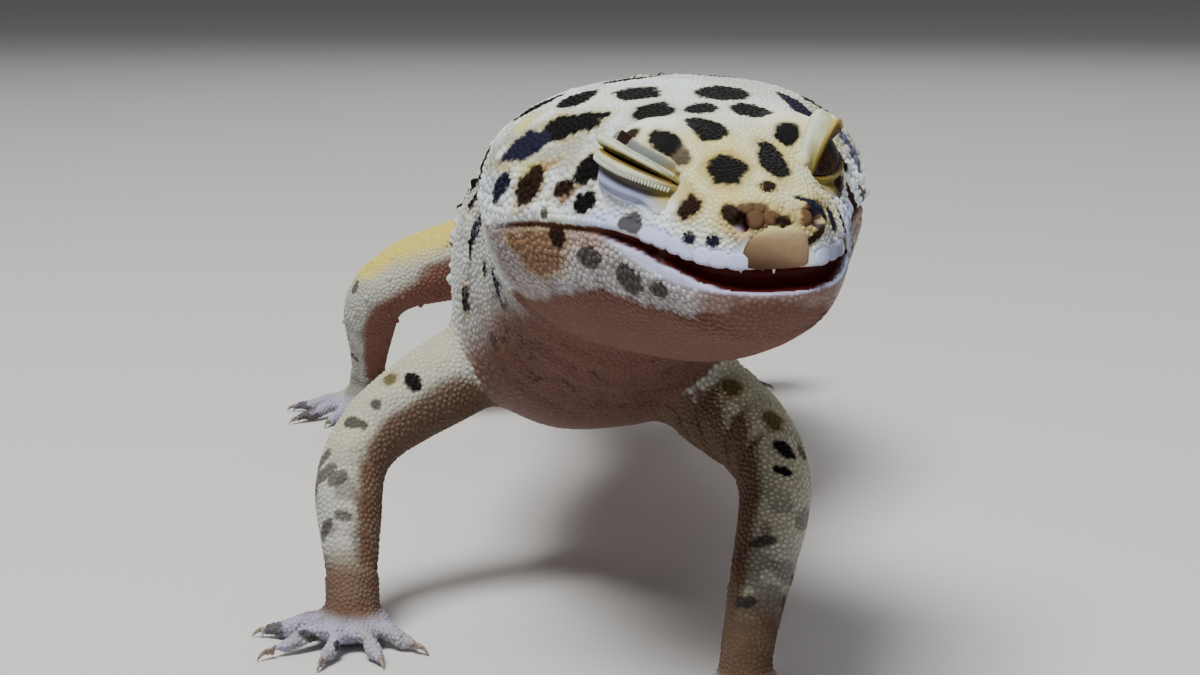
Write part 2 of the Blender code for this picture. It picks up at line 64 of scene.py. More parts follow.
# Head: its axes, and where the eyes are on them.
HEAD_TURN = math.radians(15.0)
HEAD_NOD = math.radians(1.0)
FACE_LENGTH = 19.2  # the solids behind it are swollen to close their gaps
EYE_BACK, EYE_UP = 10.5, 4.1
EYE_RADIUS = 3.45
EYE_REACH = 6.5  # nothing of the eye or its lids is further from the eye's middle
GAZE = (0.70, -0.63, 0.33)  # outwards, back, up
EYE_SLANT = math.radians(2.5)
EYE_HALF_LENGTH = 43.0  # degrees from the middle of the slit to a corner

# Lids. Where three numbers stand together they are for the rear corner, the middle and the front
# corner. Opening, width of the rim and width of the soft skin beside it are in degrees round the
# eye's middle, the rest in mm. "form" is how far the soft skin stands out and "tones" its colours,
# both by share of its width, some of them painted shade; "fade" is where these colours end.
LIDS = {
    ("right", "upper"): {
        "opening": 1.7,
        "width": (9.5, 5.6, 4.4),
        "stand": (0.75, 0.5, 0.25),
        "level": (3.9, 3.9, 3.9),
        "soft": 13.0,
        "form": ((0, 0.0), (0.15, -0.14), (0.55, -0.1), (1, 0.0)),
        # Grey-blue skin in the hollow above the flap, darkened as painted shade.
        "tones": ((0.0, (0.12, 0.13, 0.13)), (0.6, (0.21, 0.23, 0.22))),
        "fade": (0.95, 0.55),
        "rim": (0.58, 0.63, 0.47),
        "wet": (0.42, 0.32, 0.07),
    },
    ("right", "lower"): {
        "opening": 2.1,
        "width": (8.0, 8.5, 6.0),
        "stand": (0.45, 0.6, 0.35),
        "level": (3.9, 3.9, 3.9),
        "soft": 27.0,
        "form": (
            (0, -0.12), (0.25, -0.14), (0.34, 0.1), (0.42, 0.3), (0.52, 0.34), (0.61, 0.12),
            (0.67, 0.06), (0.73, 0.18), (0.79, 0.15), (0.84, 0.04), (0.89, 0.09), (1, 0.0),
        ),
        # Soft skin below the rim: a brownish groove darkened as painted shadow under the overhanging
        # rim, then lavender folds, slightly darker between them as painted shade.
        "tones": (
            (0.0, (0.10, 0.085, 0.07)),
            (0.27, (0.13, 0.12, 0.11)),
            (0.4, (0.29, 0.31, 0.52)),
            (0.6, (0.28, 0.29, 0.40)),
            (0.7, (0.42, 0.45, 0.62)),
        ),
        "fade": (0.98, 0.75),
        "rim": (0.60, 0.62, 0.49),
        "wet": (0.46, 0.36, 0.09),
    },
    ("left", "upper"): {
        "opening": 16.0,
        "width": (9.0, 5.5, 5.0),
        "stand": (0.8, 0.4, 0.2),
        "level": (3.9, 3.82, 3.8),
        "soft": 18.0,
        "form": ((0, 0.38), (0.3, 0.44), (0.6, 0.46), (0.82, 0.32), (1, 0.0)),
        "tones": ((0.0, (0.58, 0.61, 0.33)), (0.5, (0.55, 0.60, 0.46))),
        "fade": (1.0, 0.8),
        "rim": (0.50, 0.40, 0.11),
        "wet": (0.34, 0.20, 0.03),
    },
    ("left", "lower"): {
        "opening": 16.0,
        "width": (4.0, 4.5, 4.5),
        "stand": (0.0, 0.1, 0.15),
        "level": (3.5, 3.58, 3.75),
        "soft": 22.0,
        "form": ((0, -0.02), (0.3, -0.16), (0.7, -0.1), (1, 0.0)),
        # Olive brown, darkened as painted shade, most towards the bottom; its rim and wet edge are
        # darkened too.
        "tones": ((0.0, (0.15, 0.12, 0.035)), (0.45, (0.10, 0.08, 0.03)), (0.8, (0.05, 0.036, 0.03))),
        "fade": (1.0, 0.8),
        "rim": (0.24, 0.20, 0.07),
        "wet": (0.15, 0.10, 0.03),
    },
}
# Section of a rim: share of its width, and share of its height; below 0 it goes down to the eye.
RIM = (
    (-0.4, -1.0), (-0.2, -0.85), (-0.06, -0.4), (0.05, 0.1), (0.16, 0.55), (0.35, 0.9), (0.6, 1.0),
    (0.82, 0.97), (0.96, 0.7), (1.08, 0.3), (1.2, 0.0),
)
# Fringes of tiny scales: eye, lid, where on the rim's width, size, colour.
FRINGE_PALE = (0.62, 0.64, 0.52)
FRINGE_AMBER = (0.22, 0.14, 0.03)
FRINGES = (
    ("right", "lower", 0.96, 0.19, FRINGE_PALE),
    ("right", "upper", 0.93, 0.14, FRINGE_PALE),
    ("right", "upper", 0.1, 0.1, FRINGE_AMBER),
    ("right", "lower", 0.12, 0.1, FRINGE_AMBER),
    ("left", "upper", 0.12, 0.11, FRINGE_AMBER),
)

NOSTRIL = (0.75, 1.98, 2.5, 0.3)  # back, side, up, radius
NOSTRIL_TALL = 1.9  # how many times taller than wide it is
NOSTRIL_DEEP = 1.4  # how far it reaches along its axis, to either side of its middle
# Large smooth scales between the nostrils: back, side, up, size.
NOSE_SCALES = (
    (0.5, -1.42, 2.72, 1.05), (0.45, -0.42, 2.86, 1.0), (0.45, 0.52, 2.82, 0.9),
    (0.5, 1.42, 2.66, 0.95), (0.9, -1.75, 3.25, 0.6), (0.75, -1.0, 3.36, 0.62),
    (0.7, -0.2, 3.42, 0.6), (0.75, 0.7, 3.36, 0.6), (0.9, 1.5, 3.22, 0.6),
)
# The shield at the tip of the snout. Its section: share of the way from its middle to its edge,
# and share of its height. Its outline: side, up.
SHIELD_RAISED = 0.11
SHIELD_SECTION = (
    (1.05, -0.3), (1.0, 0.15), (0.95, 0.5), (0.86, 0.8), (0.7, 1.0), (0.45, 1.1), (0.2, 1.05),
    (0.02, 1.05),
)
SHIELD_OUTLINE = (
    (-2.3, 0.2), (-2.2, 0.8), (-2.02, 1.4), (-1.8, 1.72), (-1.25, 2.05), (-0.7, 2.33),
    (-0.25, 2.27), (0.13, 2.08), (0.46, 2.27), (0.9, 2.25), (1.32, 2.0), (1.5, 1.5), (1.57, 0.85),
    (1.48, 0.05), (0.6, -0.1), (-0.6, -0.1), (-1.7, 0.0),
)
EAR = (25.4, 11.9, 0.6)
EAR_OPENING = (0.75, 1.25)  # half its length and height
EAR_DEEP = 2.5  # how far in or out from its middle the skin belongs to it

# Mouth: height of the upper lip by distance back, and the head's half width at that height.
LIP = ((0.0, -0.3), (2.0, 0.0), (6.0, 0.9), (10.0, 1.4), (15.0, 1.3), (20.0, 0.7))
LIP_OUTLINE = (
    (0, 0), (0, 1.9), (0.7, 3.2), (2, 4.4), (4.5, 5.8), (8, 7.3), (12, 9.2), (16, 11.2), (20, 12.5),
)
MOUTH_OPEN = 1.0
MOUTH_SHUT = 0.3
MOUTH_SHUT_FROM = 11.0
MOUTH_CORNER = 18.5
MOUTH_DEPTH = 1.5  # how far inside the lips the mouth's inner wall stands
MOUTH_WALL_END = 21.5
MOUTH_WALL_HEIGHTS = (-2.2, 0.7)  # below and above the upper lip's edge

# The spine: distance from the snout, then x, y, z from a point on the floor under the snout.
SNOUT_AT = (10.1, 0.0, 30.1)
SPINE = (
    (36, 1.0, 34.8, 28.6),
    (46, -0.8, 44.6, 25.2),
    (60, 1.5, 58.5, 24.6),
    (76, 5.5, 74.0, 25.4),
    (92, 5.0, 90.0, 24.6),
    (106, 1.5, 103.5, 22.4),
    (114, -0.8, 111.0, 20.6),
    (122, -3.0, 118.5, 17.6),
    (134, -6.5, 129.0, 11.4),
    (146, -9.0, 140.0, 7.5),
    (160, -8.5, 154.0, 6.9),
    (175, -3.5, 168.0, 5.9),
    (190, 3.0, 181.5, 4.3),
    (205, 8.0, 195.5, 2.6),
    (218, 10.5, 208.5, 0.9),
)

# Feet: middle of the palm, direction of the foot, and for each toe its length and direction in
# degrees.
PALM_RADIUS = 2.0
PALMS = {
    "right_fore": (-17.2, 29.4, -8.0),
    "left_fore": (9.2, 15.2, 4.0),
    "right_hind": (-24.6, 111.8, -14.0),
    "left_hind": (11.0, 125.0, 6.0),
}
TOES = {
    "fore": ((4.1, -64.0), (4.8, -30.0), (5.1, 4.0), (5.2, 42.0), (4.6, 88.0)),
    "hind": ((4.6, -48.0), (5.8, -20.0), (6.8, 6.0), (7.2, 32.0), (5.6, 78.0)),
}

# A claw's base, bend and tip: how far past the end of the toe, and how high.
CLAW = ((-0.7, 0.5), (0.1, 0.8), (0.6, 0.06))
CLAW_RADIUS = 0.22
TOOTH_SPACING = 0.62
TOOTH_RADIUS = 0.1

# Skin: how it is made from the solids.
SWELL = 0.17  # closes the gaps between the solids
VOXEL = 0.3
COAT_DEPTH = 0.16
SKIN_FACES = 86000  # leaves room for the finer faces round the mouth in one piece
PATTERN_FACES = 14000  # of the rougher skin that is laid out flat
PATCH_REACH = 0.0015  # of a scale on the flat skin

HEAD_NODES = ("head", "lower_jaw")
TRUNK_NODES = ("neck", "chest", "belly", "hips")
TAIL_NODES = ("tail_base", "tail_middle", "tail_end")
LIMB_NODES = tuple(
    f"{side}_{part}"
    for side in ("right", "left")
    for part in ("upper_arm", "forearm", "hand", "thigh", "shin", "foot")
)
FLESH = HEAD_NODES + TRUNK_NODES + TAIL_NODES + LIMB_NODES
FIRST_LIMB = FLESH.index(LIMB_NODES[0])

# In the tables by part, a name without its side is for both sides.
# Softness: how far the skin's form is eased over the solids' edges, in mm.
SOFTNESS = {
    "head": 0.6,
    "lower_jaw": 0.6,
    "neck": 1.1,
    "chest": 1.2,
    "belly": 1.2,
    "hips": 1.2,
    "tail_base": 1.0,
    "tail_middle": 1.0,
    "tail_end": 0.6,
    "hand": 0.26,
    "foot": 0.26,
}
LIMB_SOFTNESS = 0.6
SMOOTHINGS = 60
# How freely the skin's faces are thinned, 1 for the parts that aren't here.
COARSENESS = {
    "head": 0.0,
    "lower_jaw": 0.0,
    "hand": 0.0,
    "foot": 0.0,
    "upper_arm": 0.35,
    "forearm": 0.35,
    "shin": 0.35,
}

# Scales: how far apart they are, in mm.
SPACING = {
    "neck": 0.38,
    "chest": 0.48,
    "belly": 0.56,
    "hips": 0.56,
    "tail_base": 0.56,
    "tail_middle": 0.58,
    "tail_end": 0.46,
    "upper_arm": 0.36,
    "forearm": 0.36,
    "hand": 0.32,
    "foot": 0.32,
}
CROWN_SPACING = 0.3
LIMB_SPACING = 0.4
TUBERCLE_SIZE = 1.0
SMALL_TUBERCLE = 0.68
TAIL_RING = 4.4  # length of one ring of the tail
TAIL_FROM = 132.0
FOLD_LENGTH = 3.1  # from one fold of the neck to the next

# Pieces of the coat: the slot of each, and the endings of the solids that it covers.
COATS = {
    "scales_head": ("head_skin", ("head",)),
    "scales_jaw": ("jaw_skin", ("lower_jaw",)),
    "scales_neck": ("trunk_skin", ("neck", "chest")),
    "scales_belly": ("trunk_skin", ("belly",)),
    "scales_hips": ("trunk_skin", ("hips", "tail_base")),
    "scales_tail": ("tail_skin", ("tail_middle", "tail_end")),
    "scales_forelegs": ("limb_skin", ("upper_arm", "forearm", "hand")),
    "scales_hindlegs": ("limb_skin", ("thigh", "shin", "foot")),
}
# One scale of each kind: its sides, then its rings as share of the radius and of the height. Its
# last point is the top.
SCALE_SHAPES = {
    "grain": (6, ((1.0, -0.5), (0.78, 0.58))),
    "bead": (8, ((1.0, -0.4), (0.86, 0.5), (0.5, 0.9))),
    "cone": (8, ((1.0, -0.4), (0.66, 0.42), (0.3, 0.86))),
    "plate": (12, ((1.0, -0.6), (0.9, 0.55), (0.6, 0.92))),
}

CAMERA_AT = (0.0, -127.0, 47.0)  # from the floor under the snout
CAMERA_DOWN = 9.3  # degrees below level
CAMERA_LENS = 69.75
# Lamps: name, place and size in metres, power, colour.
LAMPS = (
    ("key", (-0.14, -0.3, 0.58), 0.26, 6.0, (1.0, 1.0, 0.98)),
    ("fill", (0.5, -0.5, 0.25), 0.5, 0.4, (0.93, 0.96, 1.0)),
    ("back", (0.1, 0.6, 0.6), 0.5, 2.0, (1.0, 1.0, 1.0)),
)
SKY_STRENGTH = 0.2

# ---------------------------------------------------------------- colours

WHITE = (0.74, 0.80, 0.81)
CREAM = (0.76, 0.73, 0.50)
YELLOW = (0.68, 0.57, 0.14)
PALE_YELLOW = (0.66, 0.62, 0.28)
BLUISH = (0.50, 0.57, 0.74)
LILAC = (0.50, 0.47, 0.56)
GREY = (0.33, 0.33, 0.31)
TAN = (0.40, 0.27, 0.13)
NOSE_BROWN = (0.080, 0.036, 0.024)
SHIELD_LOW = NOSE_BROWN
SHIELD_HIGH = (0.36, 0.255, 0.145)
# Pinkish-brown throat, darkened as painted shade under the head; it also darkens the rear beads of the
# jaw and the underside of the neck.
THROAT_IN_SHADE = (0.155, 0.080, 0.064)
CHIN = (0.26, 0.175, 0.155)
TEMPLE = (0.35, 0.34, 0.26)
PALE_LIP = (0.55, 0.61, 0.90)
LILAC_LIP = (0.55, 0.57, 0.80)
BELLY = (0.52, 0.40, 0.37)
# Brown of the legs' inner and lower sides: partly the thin skin's own pinkish tone, partly painted
# shade and painted reflection of red ground; also the band above the wrist.
INNER_LIMB_SHADE = (0.115, 0.058, 0.033)
BLACK = (0.006, 0.0055, 0.0055)
DARK_BROWN = (0.022, 0.011, 0.007)
BLUE_BLACK = (0.014, 0.014, 0.032)
OLIVE = (0.10, 0.09, 0.035)
GREY_BROWN = (0.045, 0.038, 0.035)
ORANGE = (0.34, 0.23, 0.07)
RUST = (0.18, 0.092, 0.052)
AMBER = (0.30, 0.16, 0.06)
UMBER = (0.036, 0.021, 0.014)
INDIGO = (0.050, 0.058, 0.15)
GOLD = (0.42, 0.34, 0.08)
MOUTH_RED = (0.065, 0.008, 0.006)
# Along the shut mouth: partly the dark red of the inner lip, partly painted shade in the crease,
# browner towards the corner.
MOUTH_CREASE_SHADE = (0.040, 0.010, 0.007)
MOUTH_CREASE_SHADE_REAR = (0.12, 0.05, 0.025)
MOUTH_CORNER_TAN = (0.40, 0.26, 0.20)
CROWN_DULL = (0.44, 0.46, 0.43)
# Dark streaks on the left side of the snout: painted shade where that side turns away.
SNOUT_SIDE_SHADE = (0.20, 0.18, 0.21)
LIP_EDGE = (0.33, 0.22, 0.18)
BEAD_DARK = (0.25, 0.23, 0.23)
BEAD_PALE = (0.52, 0.50, 0.51)
NOSTRIL_LILAC = (0.27, 0.20, 0.36)
# Painted shade inside the openings of the nostrils and the ears.
NOSTRIL_SHADE = (0.028, 0.008, 0.010)
EAR_SHADE = (0.050, 0.026, 0.022)
LID_FRONT = (0.30, 0.22, 0.04)
LID_BROWN = (0.045, 0.022, 0.008)
# Black on the lid's inner wall, down into the slit: painted shade.
LID_SLIT_SHADE = (0.010, 0.006, 0.005)
NECK_GREY = (0.34, 0.335, 0.32)
BAND_BLACK = (0.035, 0.030, 0.032)
# Ground of the legs: their pale cream darkened to grey as painted shade.
LIMB_GREY_SHADED = (0.38, 0.38, 0.37)
LIMB_BLOTCH = (0.12, 0.115, 0.11)
# Reddish inner side of the hind legs: painted shade and painted reflection of red ground under the
# thigh.
INNER_THIGH_SHADE = (0.19, 0.07, 0.055)
TOE_LILAC = (0.40, 0.385, 0.50)
TOOTH_DARK, TOOTH_PALE = (0.72, 0.66, 0.52), (0.80, 0.78, 0.70)
CLAW_DARK, CLAW_PALE = (0.10, 0.07, 0.05), (0.34, 0.27, 0.20)
IRIS_DARK, IRIS_PALE = (0.012, 0.003, 0.002), (0.085, 0.026, 0.012)
PUPIL = (0.002, 0.002, 0.002)
FLOOR = (0.62, 0.61, 0.60)
SKY = (0.62, 0.62, 0.63)

# Spots of the head: back, side, up, half length, half width, turn in degrees, colour, and how
# strong its orange fringe is, if it has one.
HEAD_SPOTS = (
    (18.9, -6.8, 8.5, 1.3, 1.1, -113, "black"),
    (17.9, -10.0, 5.4, 1.9, 1.0, -128, "blue", 0.2),
    (16.0, -8.2, 7.3, 2.3, 1.15, -134, "black", 0.4),
    (16.3, -3.4, 8.8, 1.7, 1.2, -151, "black"),
    (12.7, -3.6, 7.9, 1.45, 1.3, -125, "black", 0.5),
    (12.0, -0.9, 8.0, 1.05, 0.9, -117, "black"),
    (14.7, 1.4, 8.7, 1.8, 1.45, -78, "black"),
    (11.3, 2.1, 7.8, 1.25, 1.35, -66, "black"),
    (8.9, -1.5, 7.0, 1.6, 1.0, -158, "black"),
    (7.9, -4.4, 6.5, 1.1, 0.8, -161, "black", 0.5),
    (7.2, -3.7, 5.8, 1.0, 0.55, -165, "umber", 0.5),
    (9.6, -6.2, 6.8, 0.75, 0.7, -133, "brown", 0.5),
    (5.7, -4.7, 4.2, 1.1, 0.5, 30, "gold"),
    (4.2, -1.9, 5.3, 1.75, 1.12, 175, "black", 1.0),
    (4.7, 1.1, 5.55, 2.4, 0.85, 174, "black", 0.6),
    (2.0, -0.2, 4.45, 0.55, 0.5, -73, "brown", 0.4),
    (7.8, 3.1, 6.7, 0.9, 0.9, -147, "black", 0.3),
    (15.4, 6.6, 7.6, 1.8, 1.3, -164, "blue"),
    (12.0, -7.8, 4.8, 1.3, 1.0, -168, "black", 0.3),
    (15.7, -10.8, 3.4, 1.4, 0.85, -111, "brown", 0.8),
    (18.2, -11.9, 3.1, 1.1, 0.65, -122, "blue"),
    (13.2, -9.3, 3.4, 0.8, 0.6, -146, "brown", 0.3),
    (15.2, -10.3, 4.6, 1.5, 0.3, -125, "amber"),
    (12.6, -8.9, 3.0, 1.0, 0.28, -125, "amber"),
    (11.0, -8.3, 2.8, 0.9, 0.65, -153, "black"),
    (7.3, -6.7, 2.0, 1.0, 0.6, -163, "slate"),
    (13.9, -10.1, 1.8, 0.42, 0.36, 0, "grey"),
    (13.1, -9.8, 0.6, 0.8, 0.7, 104, "brown", 0.7),
    (3.95, -4.3, 3.35, 0.95, 0.75, 0, "brown", 1.0),
    (2.8, -4.77, 1.6, 0.5, 0.42, 0, "blue"),
    (1.3, -3.7, 1.55, 0.42, 0.36, 0, "blue"),
    (7.6, 6.6, 3.9, 0.7, 0.6, -67, "brown"),
    (10.5, -8.4, -0.5, 0.95, 0.75, 171, "grey"),
    (7.8, -6.9, -1.5, 1.15, 0.95, 169, "grey"),
    (5.3, -5.8, -1.7, 0.8, 0.5, -178, "grey"),
    (0.6, -1.15, 2.85, 1.4, 0.8, 90, "nose", 0.6),
    (0.95, -2.4, 2.8, 0.5, 0.42, 90, "brown", 0.6),
    (0.25, 0.1, 2.55, 0.4, 0.4, 0, "brown", 0.3),
    (0.9, 2.0, 2.8, 0.8, 0.5, 90, "nose", 0.6),
    (0.3, 1.9, 1.5, 0.9, 0.3, 90, "brown", 0.4),
    (1.1, 2.2, 3.3, 1.0, 0.35, 80, "blue"),
    (14.7, -10.4, -0.7, 1.9, 1.35, 178, "rust", 0.8),
    (17.2, -11.3, -0.3, 0.8, 0.5, 150, "rust", 0.6),
    (1.6, 3.6, 2.4, 0.8, 0.35, -110, "blue"),
    (3.4, 4.9, 2.0, 1.0, 0.4, -100, "brown"),
    (2.6, 4.7, 0.6, 0.8, 0.35, -70, "grey"),
    (4.6, 4.0, 3.6, 1.0, 0.5, -120, "blue"),
    (9.8, 7.6, 2.2, 0.9, 0.7, 40, "brown", 0.3),
    (12.2, 8.6, 4.6, 1.2, 0.9, 10, "black"),
    (13.6, 10.0, 1.9, 0.8, 0.6, 0, "grey"),
    (16.4, 10.6, 4.8, 1.9, 0.8, 60, "indigo"),
    (18.8, 12.0, 1.8, 0.9, 0.7, 0, "brown"),
    (19.6, 9.4, 7.2, 1.7, 0.9, 120, "black"),
    (20.4, 3.4, 9.3, 1.8, 0.9, 80, "black"),
    (21.2, -2.6, 9.3, 2.1, 0.9, 100, "black"),
    (22.6, -8.2, 7.2, 1.8, 0.9, 60, "black", 0.3),
    (23.2, -11.2, 3.6, 1.3, 0.8, 110, "brown"),
    (24.6, 8.4, 6.0, 1.6, 0.8, 110, "black"),
    (25.0, 0.6, 8.6, 2.3, 0.8, 90, "black"),
    (22.4, 6.4, 8.2, 0.9, 0.7, 0, "black"),
    (9.4, 7.2, -0.9, 0.9, 0.7, 170, "grey"),
    (6.2, 6.0, -1.8, 0.8, 0.6, 170, "grey"),
)
# Spots of the neck and the forelegs: x, y, z from the floor under the snout, then the same.
FRONT_SPOTS = (
    (-9.8, 37.9, 22.6, 1.1, 0.8, 80, "black", 0.9),
    (-8.9, 35.5, 28.3, 1.0, 0.7, 90, "blue"),
    (-7.6, 29.0, 24.6, 1.5, 0.5, 95, "blue"),
    (-8.6, 33.0, 20.0, 0.8, 0.5, 95, "grey"),
    (-15.2, 37.6, 17.2, 0.6, 0.5, 0, "olive", 0.9),
    (-13.4, 37.2, 16.9, 0.8, 0.6, 20, "black"),
    (-16.0, 35.8, 15.7, 0.5, 0.4, 0, "grey"),
    (-17.8, 35.1, 14.5, 0.75, 0.45, 40, "grey"),
    (-16.8, 34.7, 14.4, 0.4, 0.3, 0, "grey"),
    (-18.5, 32.3, 11.0, 0.8, 0.5, 80, "faint"),
    (-18.0, 30.8, 8.6, 0.6, 0.4, 30, "faint"),
    (-19.4, 31.1, 7.6, 0.8, 0.45, 70, "faint"),
    (-20.6, 33.6, 12.4, 0.9, 0.5, 80, "faint"),
    (-19.9, 26.3, 1.3, 0.8, 0.4, 30, "grey"),
    (-17.6, 24.6, 1.1, 0.6, 0.35, 0, "grey"),
    (9.1, 31.1, 17.8, 1.1, 0.7, 0, "olive", 1.0),
    (11.8, 28.0, 16.1, 0.8, 0.6, 20, "olive", 1.0),
    (12.5, 25.5, 14.5, 0.9, 0.6, 30, "black"),
    (12.2, 24.2, 13.2, 0.7, 0.4, 60, "black"),
    (10.6, 20.0, 9.6, 0.8, 0.5, 70, "grey"),
    (9.3, 17.0, 6.4, 0.7, 0.5, 60, "grey"),
)
LIMB_SPOTS = {"thigh": 14, "shin": 10, "foot": 5, "hand": 3}  # how many, 5 for the other parts
# Colour of a spot, and how fully it covers the ground.
SPOT_COLOURS = {
    "black": (BLACK, 1.0),
    "blue": (BLUE_BLACK, 1.0),
    "brown": (DARK_BROWN, 1.0),
    "rust": (RUST, 0.8),
    "grey": (GREY_BROWN, 0.9),
    "slate": (BLACK, 0.88),
    "faint": (GREY_BROWN, 0.78),
    "nose": (NOSE_BROWN, 0.9),
    "olive": (OLIVE, 0.9),
    "amber": (AMBER, 0.75),
    "umber": (UMBER, 0.9),
    "indigo": (INDIGO, 0.9),
    "gold": (GOLD, 0.5),
}

# ---------------------------------------------------------------- numbers and places


def unit(vectors):
    vectors = np.asarray(vectors, float)
    return vectors / np.maximum(np.linalg.norm(vectors, axis=-1, keepdims=True), 1e-9)


def ease(low, high, values):
    """0 below low, 1 above high, and a smooth rise between; low may be the larger."""
    share = np.clip((np.asarray(values, float) - low) / (high - low), 0.0, 1.0)
    return share * share * (3 - 2 * share)


def mix(first, second, share):
    """Colours between the first, where the share is 0, and the second, where it is 1."""
    share = np.asarray(share, float)[:, None]
    return np.asarray(first) * (1 - share) + np.asarray(second) * share


def noise(points, size, seed=0):
    """Smooth random values from 0 to 1 that change over this many millimetres."""
    at = np.asarray(points) / size + 31.7 * (seed + 1)
    cell = np.floor(at).astype(np.int64)
    part = at - cell
    part = part * part * (3 - 2 * part)
    total = np.zeros(len(at))
    for corner in np.ndindex(2, 2, 2):
        key = ((cell + corner) * (73856093, 19349663, 83492791)).sum(axis=1) % 1000003
        value = np.sin(key * 12.9898) * 43758.5453
        weight = np.where(corner, part, 1 - part).prod(axis=1)
        total += (value - np.floor(value)) * weight
    return total


def run_along(line):
    """How far along a line of points each of them is."""
    return np.r_[0, np.cumsum(np.linalg.norm(np.diff(line, axis=0), axis=1))]


def point_along(at, run, line):
    """Places on a line of points, by how far along it they are."""
    return np.column_stack([np.interp(at, run, values) for values in np.transpose(line)])


def by_part(table, default):
    """The value of each solid of flesh in a table by part."""
    return np.array([table.get(name, table.get(name.split("_", 1)[-1], default)) for name in FLESH])


def on_part(parts, *endings):
    """True where the name of the solid has one of these endings."""
    return np.array([name.endswith(endings) for name in FLESH])[parts]


def on_trunk(parts):
    """True on the neck, the trunk and the tail."""
    return (parts > 1) & (parts < FIRST_LIMB)


def centre_of(node):
    low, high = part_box(node)
    return (np.array(low) + np.array(high)) / 2 / MM


BACK = np.array(
    (
        -math.sin(HEAD_TURN) * math.cos(HEAD_NOD),
        math.cos(HEAD_TURN) * math.cos(HEAD_NOD),
        math.sin(HEAD_NOD),
    )
)
LEFT = unit(centre_of("left_eye") - centre_of("right_eye"))
UP = np.cross(LEFT, BACK)
BETWEEN_EYES = (centre_of("left_eye") + centre_of("right_eye")) / 2
SNOUT = BETWEEN_EYES - BACK * EYE_BACK - UP * EYE_UP
ORIGIN = SNOUT - np.array(SNOUT_AT)  # the point on the floor under the snout


def in_head(back, side, up):
    """Places given on the head's axes."""
    back, side, up = np.broadcast_arrays(back, side, up)
    return SNOUT + back[..., None] * BACK + side[..., None] * LEFT + up[..., None] * UP


def on_head(points):
    """How far back, to the left and up on the head each point is."""
    offset = np.asarray(points) - SNOUT
    return offset @ BACK, offset @ LEFT, offset @ UP


def lip_height(back):
    """How far up the edge of the upper lip is."""
    return np.interp(back, *np.transpose(LIP))


def mouth_gap(back):
    """How far the lower lip is below the upper one."""
    shut = np.clip(np.asarray(back, float) / MOUTH_SHUT_FROM, 0.0, 1.0)
    return MOUTH_SHUT + (MOUTH_OPEN - MOUTH_SHUT) * (1 - shut) ** 1.3


def mouth_middle(back):
    """How far up the middle between the lips is."""
    return lip_height(back) - mouth_gap(back) / 2


def half_width(back):
    """Half the width of the head at the lips."""
    return np.interp(back, *np.transpose(LIP_OUTLINE[1:]))


def spine_line():
    """Points along the spine, half a millimetre apart, and their distances from the snout."""
    straight = [(d, *(in_head(d, 0.0, 0.0) - ORIGIN)) for d in (0.0, 13.0, 26.0)]
    knots = np.array([*straight, *SPINE], float).T
    slopes = (knots[1:, 2:] - knots[1:, :-2]) / (knots[0, 2:] - knots[0, :-2])
    first = (knots[1:, 1] - knots[1:, 0]) / (knots[0, 1] - knots[0, 0])
    last = (knots[1:, -1] - knots[1:, -2]) / (knots[0, -1] - knots[0, -2])
    slopes = np.column_stack([first, slopes, last])
    at = np.arange(0.0, SPINE[-1][0] + 0.25, 0.5)
    which = np.clip(np.searchsorted(knots[0], at, side="right") - 1, 0, knots.shape[1] - 2)
    span = knots[0, which + 1] - knots[0, which]
    part = (at - knots[0, which]) / span
    rest = 1 - part
    line = (
        knots[1:, which] * rest**2 * (1 + 2 * part)
        + knots[1:, which + 1] * part**2 * (1 + 2 * rest)
        + span * part * rest * (slopes[:, which] * rest - slopes[:, which + 1] * part)
    )
    return line.T + ORIGIN, at


SPINE_POINTS, SPINE_DISTANCES = spine_line()
SPINE_WAYS = unit(np.gradient(SPINE_POINTS, axis=0))


def spine_index(distance):
    """Which of the spine's points is at this distance from the snout."""
    return np.clip((np.asarray(distance) * 2).astype(int), 0, len(SPINE_POINTS) - 1)


def round_spine(way):
    """The directions to the left of the spine and above it, where it runs this way."""
    side = unit(np.cross(way, (0.0, 0.0, 1.0)))
    return side, np.cross(side, way)


def along_body(points):
    """Distance from the snout along the spine, and degrees round it from the top to the left."""
    points = np.asarray(points)
    nearest = np.empty(len(points), int)
    squares = (SPINE_POINTS**2).sum(axis=1)
    for start in range(0, len(points), BATCH):
        some = points[start : start + BATCH]
        nearest[start : start + BATCH] = np.argmin(squares - 2 * some @ SPINE_POINTS.T, axis=1)
    side, above = round_spine(SPINE_WAYS[nearest])
    offset = points - SPINE_POINTS[nearest]
    across = (offset * side).sum(axis=1)
    rise = (offset * above).sum(axis=1)
    return SPINE_DISTANCES[nearest], np.degrees(np.arctan2(across, rise))


class Surface:
    """A surface that can be asked for its nearest point, in millimetres."""

    def __init__(self, points, faces):
        self.tree = BVHTree.FromPolygons(points.tolist(), faces)

    def nearest(self, points):
        found = [self.tree.find_nearest(point) for point in np.asarray(points).tolist()]
        places = np.array([item[0] for item in found])
        faces = np.array([item[2] for item in found])
        return places, faces

    def hit(self, origin, way):
        """Where a line from a point meets the surface, or the point itself."""
        place = self.tree.ray_cast(Vector(origin), Vector(way))[0]
        return np.array(place if place is not None else origin)


# ---------------------------------------------------------------- meshes


def new_object(name, mesh, material=None):
    made = bpy.data.objects.new(name, mesh)
    bpy.context.scene.collection.objects.link(made)
    if material:
        mesh.materials.append(material)
    return made


